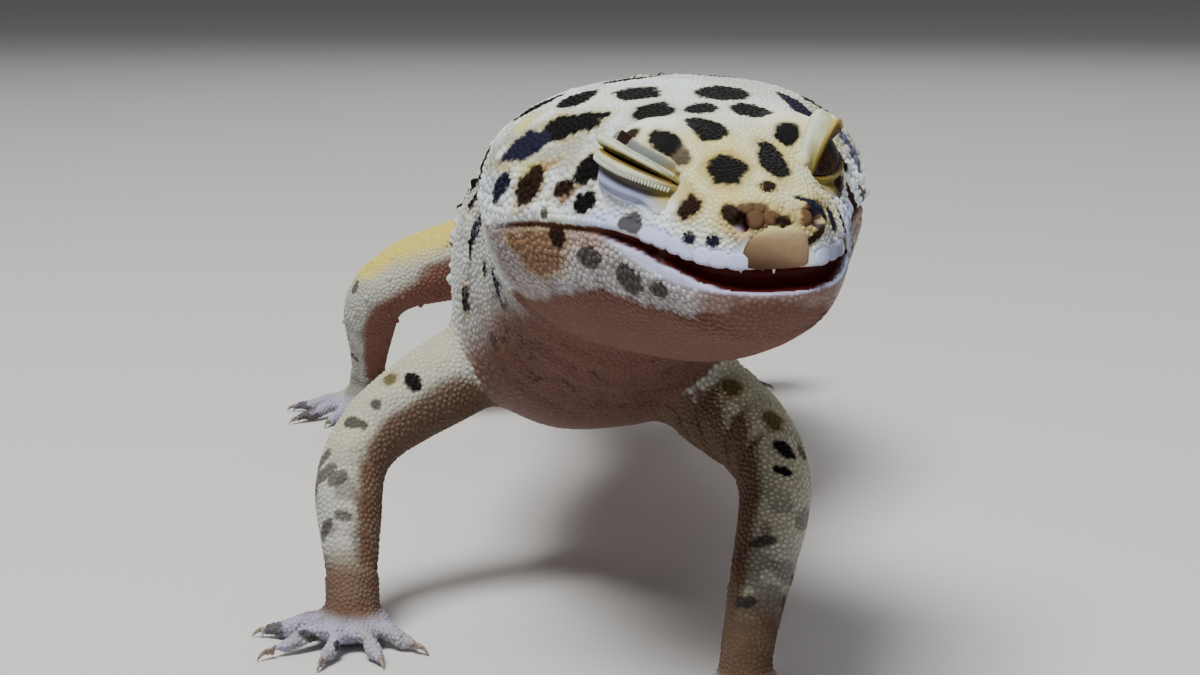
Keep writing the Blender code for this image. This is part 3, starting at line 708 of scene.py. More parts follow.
def mesh_of(name, points, faces):
    """A smooth mesh from points in millimetres and faces that all have the same number of corners."""
    faces = np.asarray(faces, np.int32)
    mesh = bpy.data.meshes.new(name)
    mesh.vertices.add(len(points))
    mesh.vertices.foreach_set("co", (np.asarray(points, np.float32) * MM).ravel())
    mesh.loops.add(faces.size)
    mesh.loops.foreach_set("vertex_index", faces.ravel())
    mesh.polygons.add(len(faces))
    mesh.polygons.foreach_set("loop_start", np.arange(0, faces.size, faces.shape[1], dtype=np.int32))
    mesh.update(calc_edges=True)
    mesh.validate()
    mesh.shade_smooth()
    return mesh


def add_piece(name, mesh, material):
    """A finished piece, which stays with the body."""
    item = new_object(name, mesh, material)
    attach(item, "root")


def values_of(items, key, width, kind=np.float32):
    """One value of each of a mesh's items, as rows of this many numbers."""
    values = np.empty(len(items) * width, kind)
    items.foreach_get(key, values)
    return values.reshape(-1, width)


def points_of(mesh):
    """The mesh's points in millimetres."""
    return values_of(mesh.vertices, "co", 3).astype(float) / MM


def normals_of(mesh):
    return values_of(mesh.vertices, "normal", 3).astype(float)


def edges_of(mesh):
    return values_of(mesh.edges, "vertices", 2, np.int32)


def triangles_of(mesh):
    mesh.calc_loop_triangles()
    return values_of(mesh.loop_triangles, "vertices", 3, np.int32)


def set_points(mesh, points):
    """Moves the mesh's points to these places in millimetres."""
    mesh.vertices.foreach_set("co", (points * MM).astype(np.float32).ravel())
    mesh.update()


def paint(mesh, colours, gloss):
    """Stores a colour for every point, with its smoothness beside it."""
    layer = mesh.color_attributes.new("Mark", "FLOAT_COLOR", "POINT")
    values = np.column_stack([colours, np.broadcast_to(gloss, len(colours))])
    layer.data.foreach_set("color", values.astype(np.float32).ravel())


def grid_faces(rows, columns, closed=False):
    """Faces of a grid of points; closed joins the last column to the first."""
    across = columns if closed else columns - 1
    row, column = np.divmod(np.arange((rows - 1) * across), across)
    beside = (column + 1) % columns
    low, high = row * columns, (row + 1) * columns
    return np.column_stack([low + column, low + beside, high + beside, high + column])


def select_only(item):
    bpy.ops.object.select_all(action="DESELECT")
    item.select_set(True)
    bpy.context.view_layer.objects.active = item


def edit(mesh, change):
    """Changes a mesh by a function of its editable form."""
    work = bmesh.new()
    work.from_mesh(mesh)
    change(work)
    work.to_mesh(mesh)
    work.free()


def apply_modifier(item, kind, **settings):
    step = item.modifiers.new("step", kind)
    for key, value in settings.items():
        setattr(step, key, value)
    select_only(item)
    bpy.ops.object.modifier_apply(modifier=step.name)


# ---------------------------------------------------------------- the skin's form


def mouth_block():
    """A block inside the mouth: its side is the mouth's inner wall."""
    backs = np.linspace(MOUTH_DEPTH, MOUTH_WALL_END, 24)
    sides = half_width(backs) - np.where(backs < MOUTH_SHUT_FROM, MOUTH_DEPTH, 0.5)
    sides[0] = 1.6
    outline = [*zip(backs, sides), *zip(backs[::-1], -sides[::-1])]
    work = bmesh.new()
    rings = []
    for lift in MOUTH_WALL_HEIGHTS:
        rings.append([work.verts.new(in_head(b, s, lip_height(b) + lift) * MM) for b, s in outline])
    work.faces.new(rings[0][::-1])
    work.faces.new(rings[1])
    for i in range(len(outline)):
        j = (i + 1) % len(outline)
        work.faces.new((rings[0][i], rings[0][j], rings[1][j], rings[1][i]))
    bmesh.ops.recalc_face_normals(work, faces=work.faces)
    bmesh.ops.triangulate(work, faces=work.faces)
    mesh = bpy.data.meshes.new("mouth_block")
    work.to_mesh(mesh)
    work.free()
    return mesh


def joined_flesh():
    """The solids of flesh as one mesh, swollen behind the face so that their gaps close."""
    work = bmesh.new()
    for name in FLESH:
        work.from_mesh(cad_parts[name].data)
    bmesh.ops.remove_doubles(work, verts=work.verts, dist=0.003 * MM)
    work.normal_update()
    points = np.array([vert.co for vert in work.verts]) / MM
    behind = on_head(points)[0] > FACE_LENGTH
    for vert, swells in zip(work.verts, behind):
        if swells:
            vert.co += vert.normal * SWELL * MM
    work.from_mesh(mouth_block())
    mesh = bpy.data.meshes.new("skin")
    work.to_mesh(mesh)
    work.free()
    return mesh


@cache
def flesh_surface():
    """The surface of all solids of flesh, and the solid that each face is on."""
    corners, faces, owner = [], [], []
    for index, name in enumerate(FLESH):
        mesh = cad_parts[name].data
        base = sum(len(item) for item in corners)
        corners.append(points_of(mesh))
        faces += [[base + i for i in face.vertices] for face in mesh.polygons]
        owner += [index] * len(mesh.polygons)
    return Surface(np.vstack(corners), faces), np.array(owner)


def nearest_part(points):
    """The solid that each point lies on, as its place in FLESH."""
    surface, owner = flesh_surface()
    return owner[surface.nearest(points)[1]]


def smoothed(points, edges, weight, times):
    """Draws each point towards the middle of its neighbours, many times."""
    ends = np.concatenate([edges[:, 0], edges[:, 1]])
    others = np.concatenate([edges[:, 1], edges[:, 0]])
    count = np.maximum(np.bincount(ends, minlength=len(points)), 1)
    for _ in range(times):
        middle = np.column_stack(
            [np.bincount(ends, points[others, i], len(points)) / count for i in range(3)]
        )
        points = points + weight[:, None] * (middle - points)
    return points


def nostril_middle(sign):
    return in_head(NOSTRIL[0], NOSTRIL[1] * sign, NOSTRIL[2])


def nostril_distance(points):
    """How far each point is from the middle of the nearer nostril."""
    return np.minimum(*(np.linalg.norm(points - nostril_middle(sign), axis=1) for sign in (-1, 1)))


def face_weight(points):
    """1 where small forms of the face must stay crisp, 0 elsewhere."""
    back, _, up = on_head(points)
    lips = np.exp(-((up - lip_height(back) + 0.4) ** 2)) * ease(22.0, 19.0, back)
    return np.maximum(lips, ease(1.6, 0.8, nostril_distance(points)))


def thin_faces(item, parts):
    """Thins the faces away from the head and the feet, where the form is smooth."""
    group = item.vertex_groups.new(name="coarse")
    coarse = by_part(COARSENESS, 1.0)[parts]
    for level in np.unique(coarse[coarse > 0]):
        group.add(np.flatnonzero(coarse == level).tolist(), float(level), "REPLACE")
    share = SKIN_FACES * 2 / sum(len(face.vertices) - 2 for face in item.data.polygons)
    settings = {"vertex_group": "coarse", "vertex_group_factor": 100.0}
    apply_modifier(item, "DECIMATE", ratio=min(share, 1.0), **settings)
    item.vertex_groups.clear()


def skin_form():
    """The skin's form: the flesh in one piece, without its cut faces and edges."""
    item = new_object("skin", joined_flesh())
    apply_modifier(item, "REMESH", mode="VOXEL", voxel_size=VOXEL * MM, adaptivity=0.0)
    points = points_of(item.data)
    parts = nearest_part(points)
    soft = by_part(SOFTNESS, LIMB_SOFTNESS)[parts] * (1 - 0.75 * face_weight(points))
    weight = np.minimum(2 * (soft / VOXEL) ** 2 / SMOOTHINGS, 0.6)
    edges = edges_of(item.data)
    count = np.maximum(np.bincount(edges.ravel(), minlength=len(points)), 1)
    for _ in range(12):
        near = np.bincount(edges.ravel(), weight[edges[:, ::-1]].ravel(), len(points))
        weight = 0.5 * weight + 0.5 * near / count
    set_points(item.data, smoothed(points, edges, weight, SMOOTHINGS))
    thin_faces(item, parts)
    return item


def near_mouth(points):
    """True along the lips and round the nostrils."""
    back, _, up = on_head(points)
    close = np.abs(up - lip_height(back) + mouth_gap(back) / 2) < 1.5
    close &= (back < 21.0) & (back > -1.0)
    return close | (nostril_distance(points) < 1.4)


def refine_mouth(work):
    """Halves the faces along the lips and round the nostrils."""
    inside = near_mouth(np.array([vert.co for vert in work.verts]) / MM)
    edges = [edge for edge in work.edges if all(inside[vert.index] for vert in edge.verts)]
    bmesh.ops.subdivide_edges(work, edges=edges, cuts=1, use_grid_fill=True)


# ---------------------------------------------------------------- shaping the face


def eye_axes(side):
    """The eye's axes: from the back corner of the slit to the front one, across it, and out."""
    out = unit(LEFT * GAZE[0] * SIGN[side] + BACK * GAZE[1] + UP * GAZE[2])
    along = -BACK * math.cos(EYE_SLANT) - UP * math.sin(EYE_SLANT)
    along = unit(along - out * (along @ out))
    above = np.cross(along, out)
    return along, above * np.sign(above @ UP), out


def eye_place(side):
    """The middle of an eye."""
    return centre_of(f"{side}_eye")


def round_eye(side, points):
    """Degrees along the slit and across it, and the distance from the middle of the eye."""
    along, above, out = eye_axes(side)
    offset = np.asarray(points) - eye_place(side)
    reach = np.maximum(np.linalg.norm(offset, axis=1), 1e-6)
    turn = np.degrees(np.arctan2(offset @ along, offset @ out))
    rise = np.degrees(np.arcsin(np.clip(offset @ above / reach, -1, 1)))
    return turn, rise, reach


def from_eye(side, turn, rise, reach):
    """Places given by degrees along the slit and across it, and distance from the eye's middle."""
    along, above, out = eye_axes(side)
    turn, rise = np.radians(turn)[..., None], np.radians(rise)[..., None]
    flat = out * np.cos(turn) + along * np.sin(turn)
    way = flat * np.cos(rise) + above * np.sin(rise)
    return eye_place(side) + way * np.asarray(reach)[..., None]


def lid_edge(form, share):
    """Degrees from the middle of the slit to the lid's edge."""
    return form["opening"] * np.maximum(1 - share**2, 0.0) ** 0.8


def outside_lid(side, lid, turn, rise):
    """Degrees outside the lid's edge, and the rim's width there."""
    share = turn / EYE_HALF_LENGTH
    form = LIDS[side, lid]
    width = np.interp(share, (-1, 0, 1), form["width"])
    return rise * LID_SIGN[lid] - lid_edge(form, share), width


def lid_cover(side, points):
    """Below 1 where the lids of an eye cover the skin."""
    turn, rise, reach = round_eye(side, points)
    cover = np.full(len(points), FAR_AWAY)
    for lid in LID_SIGN:
        out, width = outside_lid(side, lid, turn, rise)
        share = np.clip(out, 0, None) / (1.2 * width + 0.8 * LIDS[side, lid]["soft"])
        here = rise >= 0 if lid == "upper" else rise < 0
        total = share**2 + (np.abs(turn) / (1.22 * EYE_HALF_LENGTH)) ** 4
        cover = np.where(here, total, cover)
    return np.where(reach < EYE_REACH, cover, FAR_AWAY), reach


def sink_lids(points):
    """Makes room under the lids' edges, which are pieces of their own."""
    for side in SIGN:
        cover, reach = lid_cover(side, points)
        goal = np.minimum(reach, EYE_RADIUS + 0.12)
        share = ease(0.95, 0.6, cover) * (reach > 3.2)
        way = unit(points - eye_place(side))
        points = points + way * ((goal - reach) * share)[:, None]
    return points


def shape_mouth(points):
    """Draws the shut part of the mouth in as a crease, under a slightly hanging upper lip."""
    back, side, up = on_head(points)
    line = up - mouth_middle(back)
    shut = ease(4.5, 6.0, back) * ease(MOUTH_CORNER + 1.5, MOUTH_CORNER, back)
    outside = np.abs(side) > half_width(back) - 1.3
    front = ease(10.5, 8.5, back)
    crease = -(0.4 + 0.35 * front) * np.exp(-((line / (0.22 + 0.08 * front)) ** 2))
    hang = 0.14 * np.exp(-(((line - 0.75) / 0.45) ** 2))
    hang = hang - 0.12 * np.exp(-(((line + 0.7) / 0.5) ** 2))
    outward = unit(np.outer(np.sign(side), LEFT) - 0.2 * BACK)
    return points + outward * ((crease + hang) * shut * outside)[:, None]


def shape_nostrils(points):
    """A tall pit with a raised rim on each side of the snout."""
    for sign in (-1, 1):
        away, depth, way = round_nostril(sign, points)
        rim = 0.12 * np.exp(-(((away - 1.6) / 0.5) ** 2))
        pit = -0.7 * ease(1.15, 0.4, away)
        points = points + np.outer((rim + pit) * (np.abs(depth) < NOSTRIL_DEEP), way)
    return points


def round_nostril(sign, points):
    """How far each point is from the nostril's axis, in its radii, how far along it, and its way."""
    way = unit(LEFT * 0.66 * sign - BACK * 0.68 + UP * 0.25)
    offset = points - nostril_middle(sign)
    depth = offset @ way
    across = offset - np.outer(depth, way)
    tall = unit(UP - way * (UP @ way))
    across = across - np.outer(across @ tall, tall) * (1 - 1 / NOSTRIL_TALL)
    return np.linalg.norm(across, axis=1) / NOSTRIL[3], depth, way


def round_ear(sign, points):
    """How far each point is from the middle of the ear's opening, in its radii."""
    offset = points - in_head(EAR[0], EAR[1] * sign, EAR[2])
    away = np.hypot(offset @ BACK / EAR_OPENING[0], offset @ UP / EAR_OPENING[1])
    return np.where(np.abs(offset @ LEFT) < EAR_DEEP, away, FAR_AWAY)


def shape_ears(points):
    """An upright oval pit behind each corner of the mouth."""
    for sign in (-1, 1):
        pit = -0.6 * ease(1.1, 0.5, round_ear(sign, points))
        points = points + np.outer(pit, LEFT * sign)
    return points


def snout_plate(points):
    """1 under the smooth shield at the tip of the snout, 0 elsewhere."""
    back, side, up = on_head(points)
    top = 2.3 - 0.28 * np.abs(side + 0.3) ** 1.6
    wide = ease(2.15, 1.95, np.abs(side + 0.35))
    return wide * ease(top + 0.1, top - 0.1, up) * ease(-0.6, -0.3, up) * ease(1.6, 1.2, back)


def upper_lip(points):
    """1 on the smooth edge of the upper lip, which carries a row of plates, 0 elsewhere."""
    back, _, up = on_head(points)
    above = up - lip_height(back)
    return ease(1.02, 0.9, above) * ease(-0.6, -0.3, above) * (back < 9.2)


def lower_lip(points):
    """1 on the smooth lower lip, which narrows towards the tip and the corner of the mouth."""
    back, _, up = on_head(points)
    below = lip_height(back) - mouth_gap(back) - up
    knots = (0.0, 0.6, 2.0, 4.0, 6.0, 7.5, 9.0, 9.8)
    width = np.interp(back, knots, (0.2, 0.25, 0.45, 0.85, 0.95, 0.65, 0.2, 0.0))
    return ease(width + 0.2, width - 0.1, below) * ease(-0.6, -0.3, below) * (back < 9.8)


def shape_folds(points, normals):
    """Soft folds of loose skin on the neck, behind the arms and between the rings of the tail."""
    distance, angle = along_body(points)
    neck = ease(25.0, 29.0, distance) * ease(45.0, 39.0, distance) * ease(40.0, 70.0, np.abs(angle))
    wave = np.sin(distance * 2 * np.pi / FOLD_LENGTH + 5.0 * noise(points, 6.0, 3))
    fold = -0.38 * (0.5 - 0.5 * wave) ** 3 * neck
    loose = 0.3 * (noise(points, 4.0, 5) - 0.5) * ease(30.0, 44.0, distance)
    loose = loose * ease(130.0, 110.0, distance)
    ring = np.cos((distance - TAIL_FROM) * 2 * np.pi / TAIL_RING)
    groove = -0.2 * np.clip(ring, 0, 1) ** 4 * ease(TAIL_FROM, TAIL_FROM + 8.0, distance)
    return points + normals * (fold + loose + groove * ease(217.0, 200.0, distance))[:, None]


def pull_in(points, normals, parts):
    """Takes back the swelling and makes room for the coat."""
    depth = np.full(len(points), COAT_DEPTH)
    depth = np.where(on_head(points)[0] > FACE_LENGTH, depth + SWELL - 0.05, depth)
    depth = np.where(on_part(parts, "hand", "foot"), SWELL, depth)
    depth = depth * (1 - 0.6 * face_weight(points))
    moved = points - normals * depth[:, None]
    moved[:, 2] = np.maximum(moved[:, 2], 0.02)
    return moved


def shaped_skin():
    """The finished form of the skin, and its surface as it was under the lids."""
    item = skin_form()
    mesh = item.data
    edit(mesh, refine_mouth)
    points = points_of(mesh)
    set_points(mesh, pull_in(points, normals_of(mesh), nearest_part(points)))
    set_points(mesh, shape_ears(shape_nostrils(shape_mouth(points_of(mesh)))))
    before = Surface(points_of(mesh), triangles_of(mesh).tolist())
    set_points(mesh, sink_lids(points_of(mesh)))
    set_points(mesh, shape_folds(points_of(mesh), normals_of(mesh)))
    mesh.shade_smooth()
    return item, before


# ---------------------------------------------------------------- markings


def make_spot(surface, place, half_length, half_width, turn, colour, fringe=0):
    """A spot on the skin: its middle, the ways along and across it, its colour and its fringe."""
    found = surface.tree.find_nearest(Vector(place))
    normal = np.array(found[1])
    ahead = unit(BACK - normal * (BACK @ normal))
    beside = np.cross(normal, ahead)
    turn = math.radians(turn)
    long_way = ahead * math.cos(turn) + beside * math.sin(turn)
    wide_way = np.cross(normal, long_way)
    tone, cover = SPOT_COLOURS[colour]
    return np.array(found[0]), long_way / half_length, wide_way / half_width, tone, cover, fringe


def given_spots(surface):
    """The spots of the head, the neck and the forelegs, which have places of their own."""
    head = [make_spot(surface, in_head(*row[:3]), *row[3:]) for row in HEAD_SPOTS]
    return head + [make_spot(surface, ORIGIN + row[:3], *row[3:]) for row in FRONT_SPOTS]


def body_spots(surface, chance):
    """Rows of dark spots down the back and the flanks, irregular in place and size."""
    spots = []
    for row, distance in enumerate(np.arange(29.0, 131.0, 4.3)):
        for angle in np.arange(-105.0, 106.0, 26.0) + (13.0 if row % 2 else 0.0):
            if chance.random() < 0.14 + 0.25 * (abs(angle) > 80):
                continue
            at = distance + chance.uniform(-1.6, 1.6)
            turned = math.radians(angle + chance.uniform(-9, 9))
            index = spine_index(at)
            side, above = round_spine(SPINE_WAYS[index])
            ray = side * math.sin(turned) + above * math.cos(turned)
            place = surface.hit(SPINE_POINTS[index], ray)
            length = chance.uniform(0.9, 2.3) * (1.0 - 0.35 * (abs(angle) > 80))
            width = length * chance.uniform(0.5, 0.85)
            colour = "black" if chance.random() < 0.8 else "brown"
            turn = chance.uniform(50, 130)
            spots.append(make_spot(surface, place, length, width, turn, colour, 0.25))
    return spots


def limb_spots(surface, chance):
    """Small spots on the outer sides of the legs."""
    spots = []
    for name in LIMB_NODES:
        low, high = (np.array(corner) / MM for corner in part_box(name))
        side, part = name.split("_", 1)
        for _ in range(LIMB_SPOTS.get(part, 5)):
            place = low + (high - low) * chance.random(3)
            place[0] = high[0] if SIGN[side] > 0 else low[0]
            place = place + (0.0, chance.uniform(0, 3), 1.0)
            size = chance.uniform(0.45, 0.85)
            colour = "olive" if chance.random() < 0.4 else "faint"
            turn = chance.uniform(0, 180)
            spots.append(make_spot(surface, place, size * 1.3, size * 0.8, turn, colour, 0.1))
    return spots


def head_ground(points):
    """Colours of the head above the mouth, without its spots."""
    back, side, up = on_head(points)
    above = up - lip_height(back)
    patch = noise(points, 2.6, 11)
    fine = noise(points, 1.1, 12)
    colour = mix(WHITE, CREAM, 0.3 * ease(0.45, 0.8, patch))
    dull = ease(0.48, 0.72, noise(points, 2.4, 17)) * ease(12.0, 16.0, back)
    colour = mix(colour, CROWN_DULL, 0.55 * dull)
    snout = ease(12.0, 6.0, back + 3.0 * (patch - 0.5)) * ease(1.4, 2.6, above)
    colour = mix(colour, PALE_YELLOW, snout * (0.6 + 0.4 * fine))
    colour = mix(colour, YELLOW, snout * 0.5 * ease(0.45, 0.75, noise(points, 1.7, 15)))
    temple = ease(10.0, 12.5, back) * ease(8.2, 6.6, up) * ease(4.5, 6.5, np.abs(side))
    temple = temple * ease(24.0, 20.0, back) * ease(2.4, 3.6, up)
    colour = mix(colour, TEMPLE, temple * 0.8 * ease(0.1, 0.6, fine))
    colour = mix(colour, PALE_YELLOW, temple * ease(0.5, 0.7, noise(points, 1.6, 13)))
    cheek = ease(3.4, 2.0, above) * ease(3.0, 6.0, back)
    colour = mix(colour, WHITE, cheek)
    colour = mix(colour, BLUISH, cheek * 0.7 * ease(0.3, 0.7, noise(points, 1.8, 14)))
    lip_band = ease(1.5, 0.9, above) * ease(1.6, 2.4, np.abs(side)) * ease(13.0, 9.0, back)
    colour = mix(colour, PALE_LIP, lip_band)
    colour = mix(colour, LIP_EDGE, 0.75 * ease(0.45, 0.05, above) * ease(9.5, 7.0, back))
    tip = ease(3.0, 1.6, back) * ease(3.9, 3.0, up) * ease(1.2, 1.8, up)
    colour = mix(colour, TAN, 0.7 * (tip * ease(3.2, 2.2, np.abs(side + 0.2))))
    # Painted shade: dark streaks down the left side of the snout only.
    strip = ease(2.2, 3.4, side) * ease(9.0, 7.0, back) * ease(4.6, 3.6, up)
    colour = mix(colour, SNOUT_SIDE_SHADE, 0.75 * strip * ease(0.35, 0.6, noise(points, 0.8, 16)))
    return mix(colour, CREAM, 0.5 * ease(22.0, 27.0, back))


def jaw_ground(points, colour):
    """Adds the colours below the mouth: white lip, pale beads, and a pinkish-brown throat darkened as
    painted shade under the head.
    """
    back, _, up = on_head(points)
    below = mouth_middle(back) - up
    beads = mix(BEAD_DARK, BEAD_PALE, noise(points, 0.9, 21))
    # Painted shade: the beads darken towards the throat.
    beads = mix(beads, THROAT_IN_SHADE, 0.3 * ease(13.0, 18.0, back))
    jaw = ease(-0.1, 0.2, below)
    colour = mix(colour, beads, jaw * ease(26.0, 20.0, back))
    colour = mix(colour, CHIN, jaw * ease(2.8, 1.0, back - 0.4 * below))
    corner = jaw * ease(1.6, 0.9, below) * ease(8.5, 10.0, back) * ease(20.0, 17.0, back)
    colour = mix(colour, MOUTH_CORNER_TAN, 0.7 * corner)
    colour = mix(colour, LILAC_LIP, lower_lip(points))
    knots = (0, 1.5, 3.6, 6.7, 11.5, 15, 18)
    edge = np.interp(back, knots, (0.95, 2.05, 2.9, 3.5, 3.7, 4.6, 4.8))
    ragged = 0.7 * (noise(points, 1.6, 22) - 0.5) + 0.5 * (noise(points, 0.6, 23) - 0.5)
    # The throat below its ragged edge, in its brown darkened as painted shade.
    throat = ease(-0.3, 0.3, below - edge - ragged)
    return mix(colour, THROAT_IN_SHADE, throat * ease(34.0, 26.0, back))


def mouth_line(points):
    """1 along the line of the shut mouth, 0 elsewhere."""
    back, side, up = on_head(points)
    line = np.abs(up - mouth_middle(back))
    knots = (3.6, 4.6, 5.6, 7.0, 9.0, 10.5, 17.0, MOUTH_CORNER)
    width = np.interp(back, knots, (0.0, 0.46, 0.44, 0.34, 0.24, 0.16, 0.12, 0.0))
    outside = np.abs(side) > half_width(back) - 1.5
    return ease(width + 0.1, width - 0.04, line) * ease(0.0, 0.05, width) * outside


def body_ground(points):
    """Colours of the neck, the trunk and the tail without their spots."""
    distance, angle = along_body(points)
    patch = noise(points, 5.0, 31)
    colour = mix(CREAM, PALE_YELLOW, 0.25 + 0.6 * patch)
    band = 0.5 + 0.5 * np.sin((distance - 40.0) * 2 * np.pi / 30.0)
    colour = mix(colour, LILAC, 0.55 * ease(0.62, 0.95, band) * ease(24.0, 34.0, distance))
    neck = ease(22.0, 27.0, distance) * ease(52.0, 42.0, distance) * ease(35.0, 60.0, np.abs(angle))
    flank = ease(55.0, 95.0, np.abs(angle) + 20 * (patch - 0.5))
    colour = mix(colour, WHITE, flank * 0.85)
    colour = mix(colour, GREY, flank * 0.35 * noise(points, 3.0, 32))
    colour = mix(colour, NECK_GREY, neck * (0.55 + 0.45 * noise(points, 1.4, 34)))
    under = ease(105.0, 135.0, np.abs(angle) + 14 * (noise(points, 4.0, 33) - 0.5))
    # Under the neck the belly's colour turns into the throat's brown, darkened as painted shade.
    return mix(colour, mix(BELLY, THROAT_IN_SHADE, ease(56.0, 40.0, distance)), under)


def tail_bands(points, colour):
    """Adds the dark bands and flecks of the tail on a pale ground."""
    distance, angle = along_body(points)
    wander = distance + 5.0 * (noise(points, 4.0, 41) - 0.5)
    wave = np.sin((wander - 126.0) * 2 * np.pi / 15.5)
    tail = ease(128.0, 134.0, distance)
    upper = ease(150.0, 105.0, np.abs(angle))
    colour = mix(colour, WHITE, tail * 0.8)
    dark = tail * upper * ease(0.05, 0.4, wave)
    flecks = tail * upper * ease(0.74, 0.82, noise(points, 1.7, 42))
    return mix(colour, BAND_BLACK, np.maximum(dark * 0.95, flecks * 0.8))


def limb_ground(points, normals, parts):
    """Colours of the legs: pale grey outside, darkened as painted shade; brown inside and below, as
    painted shade and painted reflection of red ground; brown above the wrist; lilac grey toes.
    """
    outer = np.array([-1.0 if name.startswith("right") else 1.0 for name in FLESH])[parts]
    hind = on_part(parts, "thigh", "shin")
    fore = on_part(parts, "forearm", "hand")
    # The legs' grey ground carries painted shade.
    colour = mix(LIMB_GREY_SHADED, CREAM, 0.08 + 0.2 * noise(points, 3.0, 51))
    yellow = ease(0.2, 0.75, normals[:, 2] + 0.3 * (noise(points, 2.0, 55) - 0.5))
    colour = mix(colour, YELLOW, yellow * np.where(hind, 1.0, 0.15))
    blotch = ease(0.47, 0.58, noise(points, 1.3, 52)) * np.where(hind, 0.3, 0.6)
    colour = mix(colour, LIMB_BLOTCH, blotch * ease(14.0, 10.0, points[:, 2]))
    ragged = 0.3 * (noise(points, 2.2, 53) - 0.5)
    # Painted shade and painted red reflection on the sides that face inwards and down; the band above
    # the wrist has the same brown.
    inner = ease(-0.1, 0.3, -0.85 * normals[:, 0] * outer - 0.4 * normals[:, 2] + ragged)
    cuff = ease(7.0, 5.2, points[:, 2] + 5 * ragged) * ease(1.2, 1.8, points[:, 2]) * fore
    colour = mix(colour, INNER_LIMB_SHADE, np.maximum(inner, cuff) * 0.9)
    colour = mix(colour, INNER_THIGH_SHADE, 0.6 * inner * hind)
    toes = on_part(parts, "hand", "foot") * ease(2.4, 1.7, points[:, 2] + ragged)
    pale = mix(TOE_LILAC, GREY, 0.6 * ease(0.5, 0.7, noise(points, 1.6, 54)))
    return mix(colour, pale, toes)


def in_mouth(points, normals):
    """1 inside the mouth, 0 outside."""
    back, side, up = on_head(points)
    level = ease(1.35, 0.9, np.abs(up - mouth_middle(back))) * (back < MOUTH_CORNER) * (back > -0.5)
    flat = ease(0.55, 0.85, np.abs(normals @ UP))
    inside = half_width(back) - np.abs(side)
    deep = ease(0.55, 0.9, inside) * ease(0.5, 1.0, back)
    return level * np.maximum(flat * ease(0.2, 0.5, inside), deep)


def ground(points, normals, parts):
    """The colour at each point without its spots."""
    head = jaw_ground(points, head_ground(points))
    body = tail_bands(points, body_ground(points))
    colour = mix(head, body, ease(23.0, 29.0, along_body(points)[0]))
    return np.where((parts >= FIRST_LIMB)[:, None], limb_ground(points, normals, parts), colour)


def spot_marks(points, spots):
    """How fully a spot covers each point, in what colour, its fringe, and how near a spot is."""
    wobble = 0.5 * (noise(points, 1.0, 61) - 0.5) + 0.3 * (noise(points, 0.3, 62) - 0.5)
    dark, halo, blush = np.zeros((3, len(points)))
    tone = np.tile(BLACK, (len(points), 1))
    for middle, long_way, wide_way, shade, cover, fringe in spots:
        reach = 2.4 / min(np.linalg.norm(long_way), np.linalg.norm(wide_way))
        near = np.flatnonzero(((points - middle) ** 2).sum(axis=1) < reach * reach)
        offset = points[near] - middle
        away = np.sqrt((offset @ long_way) ** 2 + (offset @ wide_way) ** 2) + wobble[near]
        inside = cover * ease(1.1, 0.96, away)
        reach_out = ease(1.7, 1.05, away)
        halo[near] = np.maximum(halo[near], fringe * reach_out)
        blush[near] = np.maximum(blush[near], reach_out)
        stronger = inside > dark[near]
        tone[near[stronger]] = shade
        dark[near] = np.maximum(dark[near], inside)
    return dark, tone, halo, blush


def pit_colours(points, colour):
    """Adds painted shade inside the nostrils, lilac behind and below them, and painted shade inside
    the ears.
    """
    back, _, up = on_head(points)
    for sign in (-1, 1):
        away, depth, _ = round_nostril(sign, points)
        near = np.abs(depth) < NOSTRIL_DEEP
        lilac = near * ease(2.3, 1.3, away) * ease(0.0, 0.4, NOSTRIL[2] - up)
        lilac = lilac * ease(0.0, 0.3, back - NOSTRIL[0] + 0.2)
        colour = mix(colour, NOSTRIL_LILAC, 0.8 * lilac)
        # Painted shade fills the nostril's pit and the ear's opening.
        colour = mix(colour, NOSTRIL_SHADE, ease(1.15, 0.75, away) * near)
        colour = mix(colour, EAR_SHADE, ease(1.15, 0.7, round_ear(sign, points)))
    return colour


def marked(points, normals, parts, spots):
    """The colour at each point: the ground, its spots and their fringes, the nostrils and ears with
    painted shade inside, and the mouth with painted shade along its crease.
    """
    dark, tone, halo, blush = spot_marks(points, spots)
    back = on_head(points)[0]
    front = ease(24.0, 18.0, back) * (parts < 1)
    colour = mix(ground(points, normals, parts), YELLOW, 0.25 * blush * front)
    colour = mix(colour, ORANGE, halo * 0.6)
    colour = pit_colours(points, mix(colour, tone, dark))
    # Painted shade along the crease of the shut mouth, partly the inner lip's dark red.
    line = mix(MOUTH_CREASE_SHADE, MOUTH_CREASE_SHADE_REAR, ease(8.5, 10.5, back))
    colour = mix(colour, line, mouth_line(points))
    return mix(colour, MOUTH_RED, in_mouth(points, normals))


# ---------------------------------------------------------------- scales


def near_pairs(points, others, reach):
    """Pairs of a point and another one nearer to it than this."""
    low = np.minimum(points.min(axis=0), others.min(axis=0)) - reach
    cell = np.floor((points - low) / reach).astype(np.int64)
    home = np.floor((others - low) / reach).astype(np.int64)
    span = np.maximum(cell.max(axis=0), home.max(axis=0)) + 3
    row = np.array((span[1] * span[2], span[2], 1))
    order = np.argsort(home @ row, kind="stable")
    keys = (home @ row)[order]
    found = []
    for step in np.ndindex(3, 3, 3):
        wanted = (cell + np.array(step) - 1) @ row
        first = np.searchsorted(keys, wanted, "left")
        count = np.searchsorted(keys, wanted, "right") - first
        here = np.repeat(np.arange(len(points)), count)
        run = np.arange(count.sum()) - np.repeat(np.cumsum(count) - count, count)
        there = order[np.repeat(first, count) + run]
        close = ((points[here] - others[there]) ** 2).sum(axis=1) < reach * reach
        found.append(np.column_stack([here[close], there[close]]))
    return np.vstack(found)


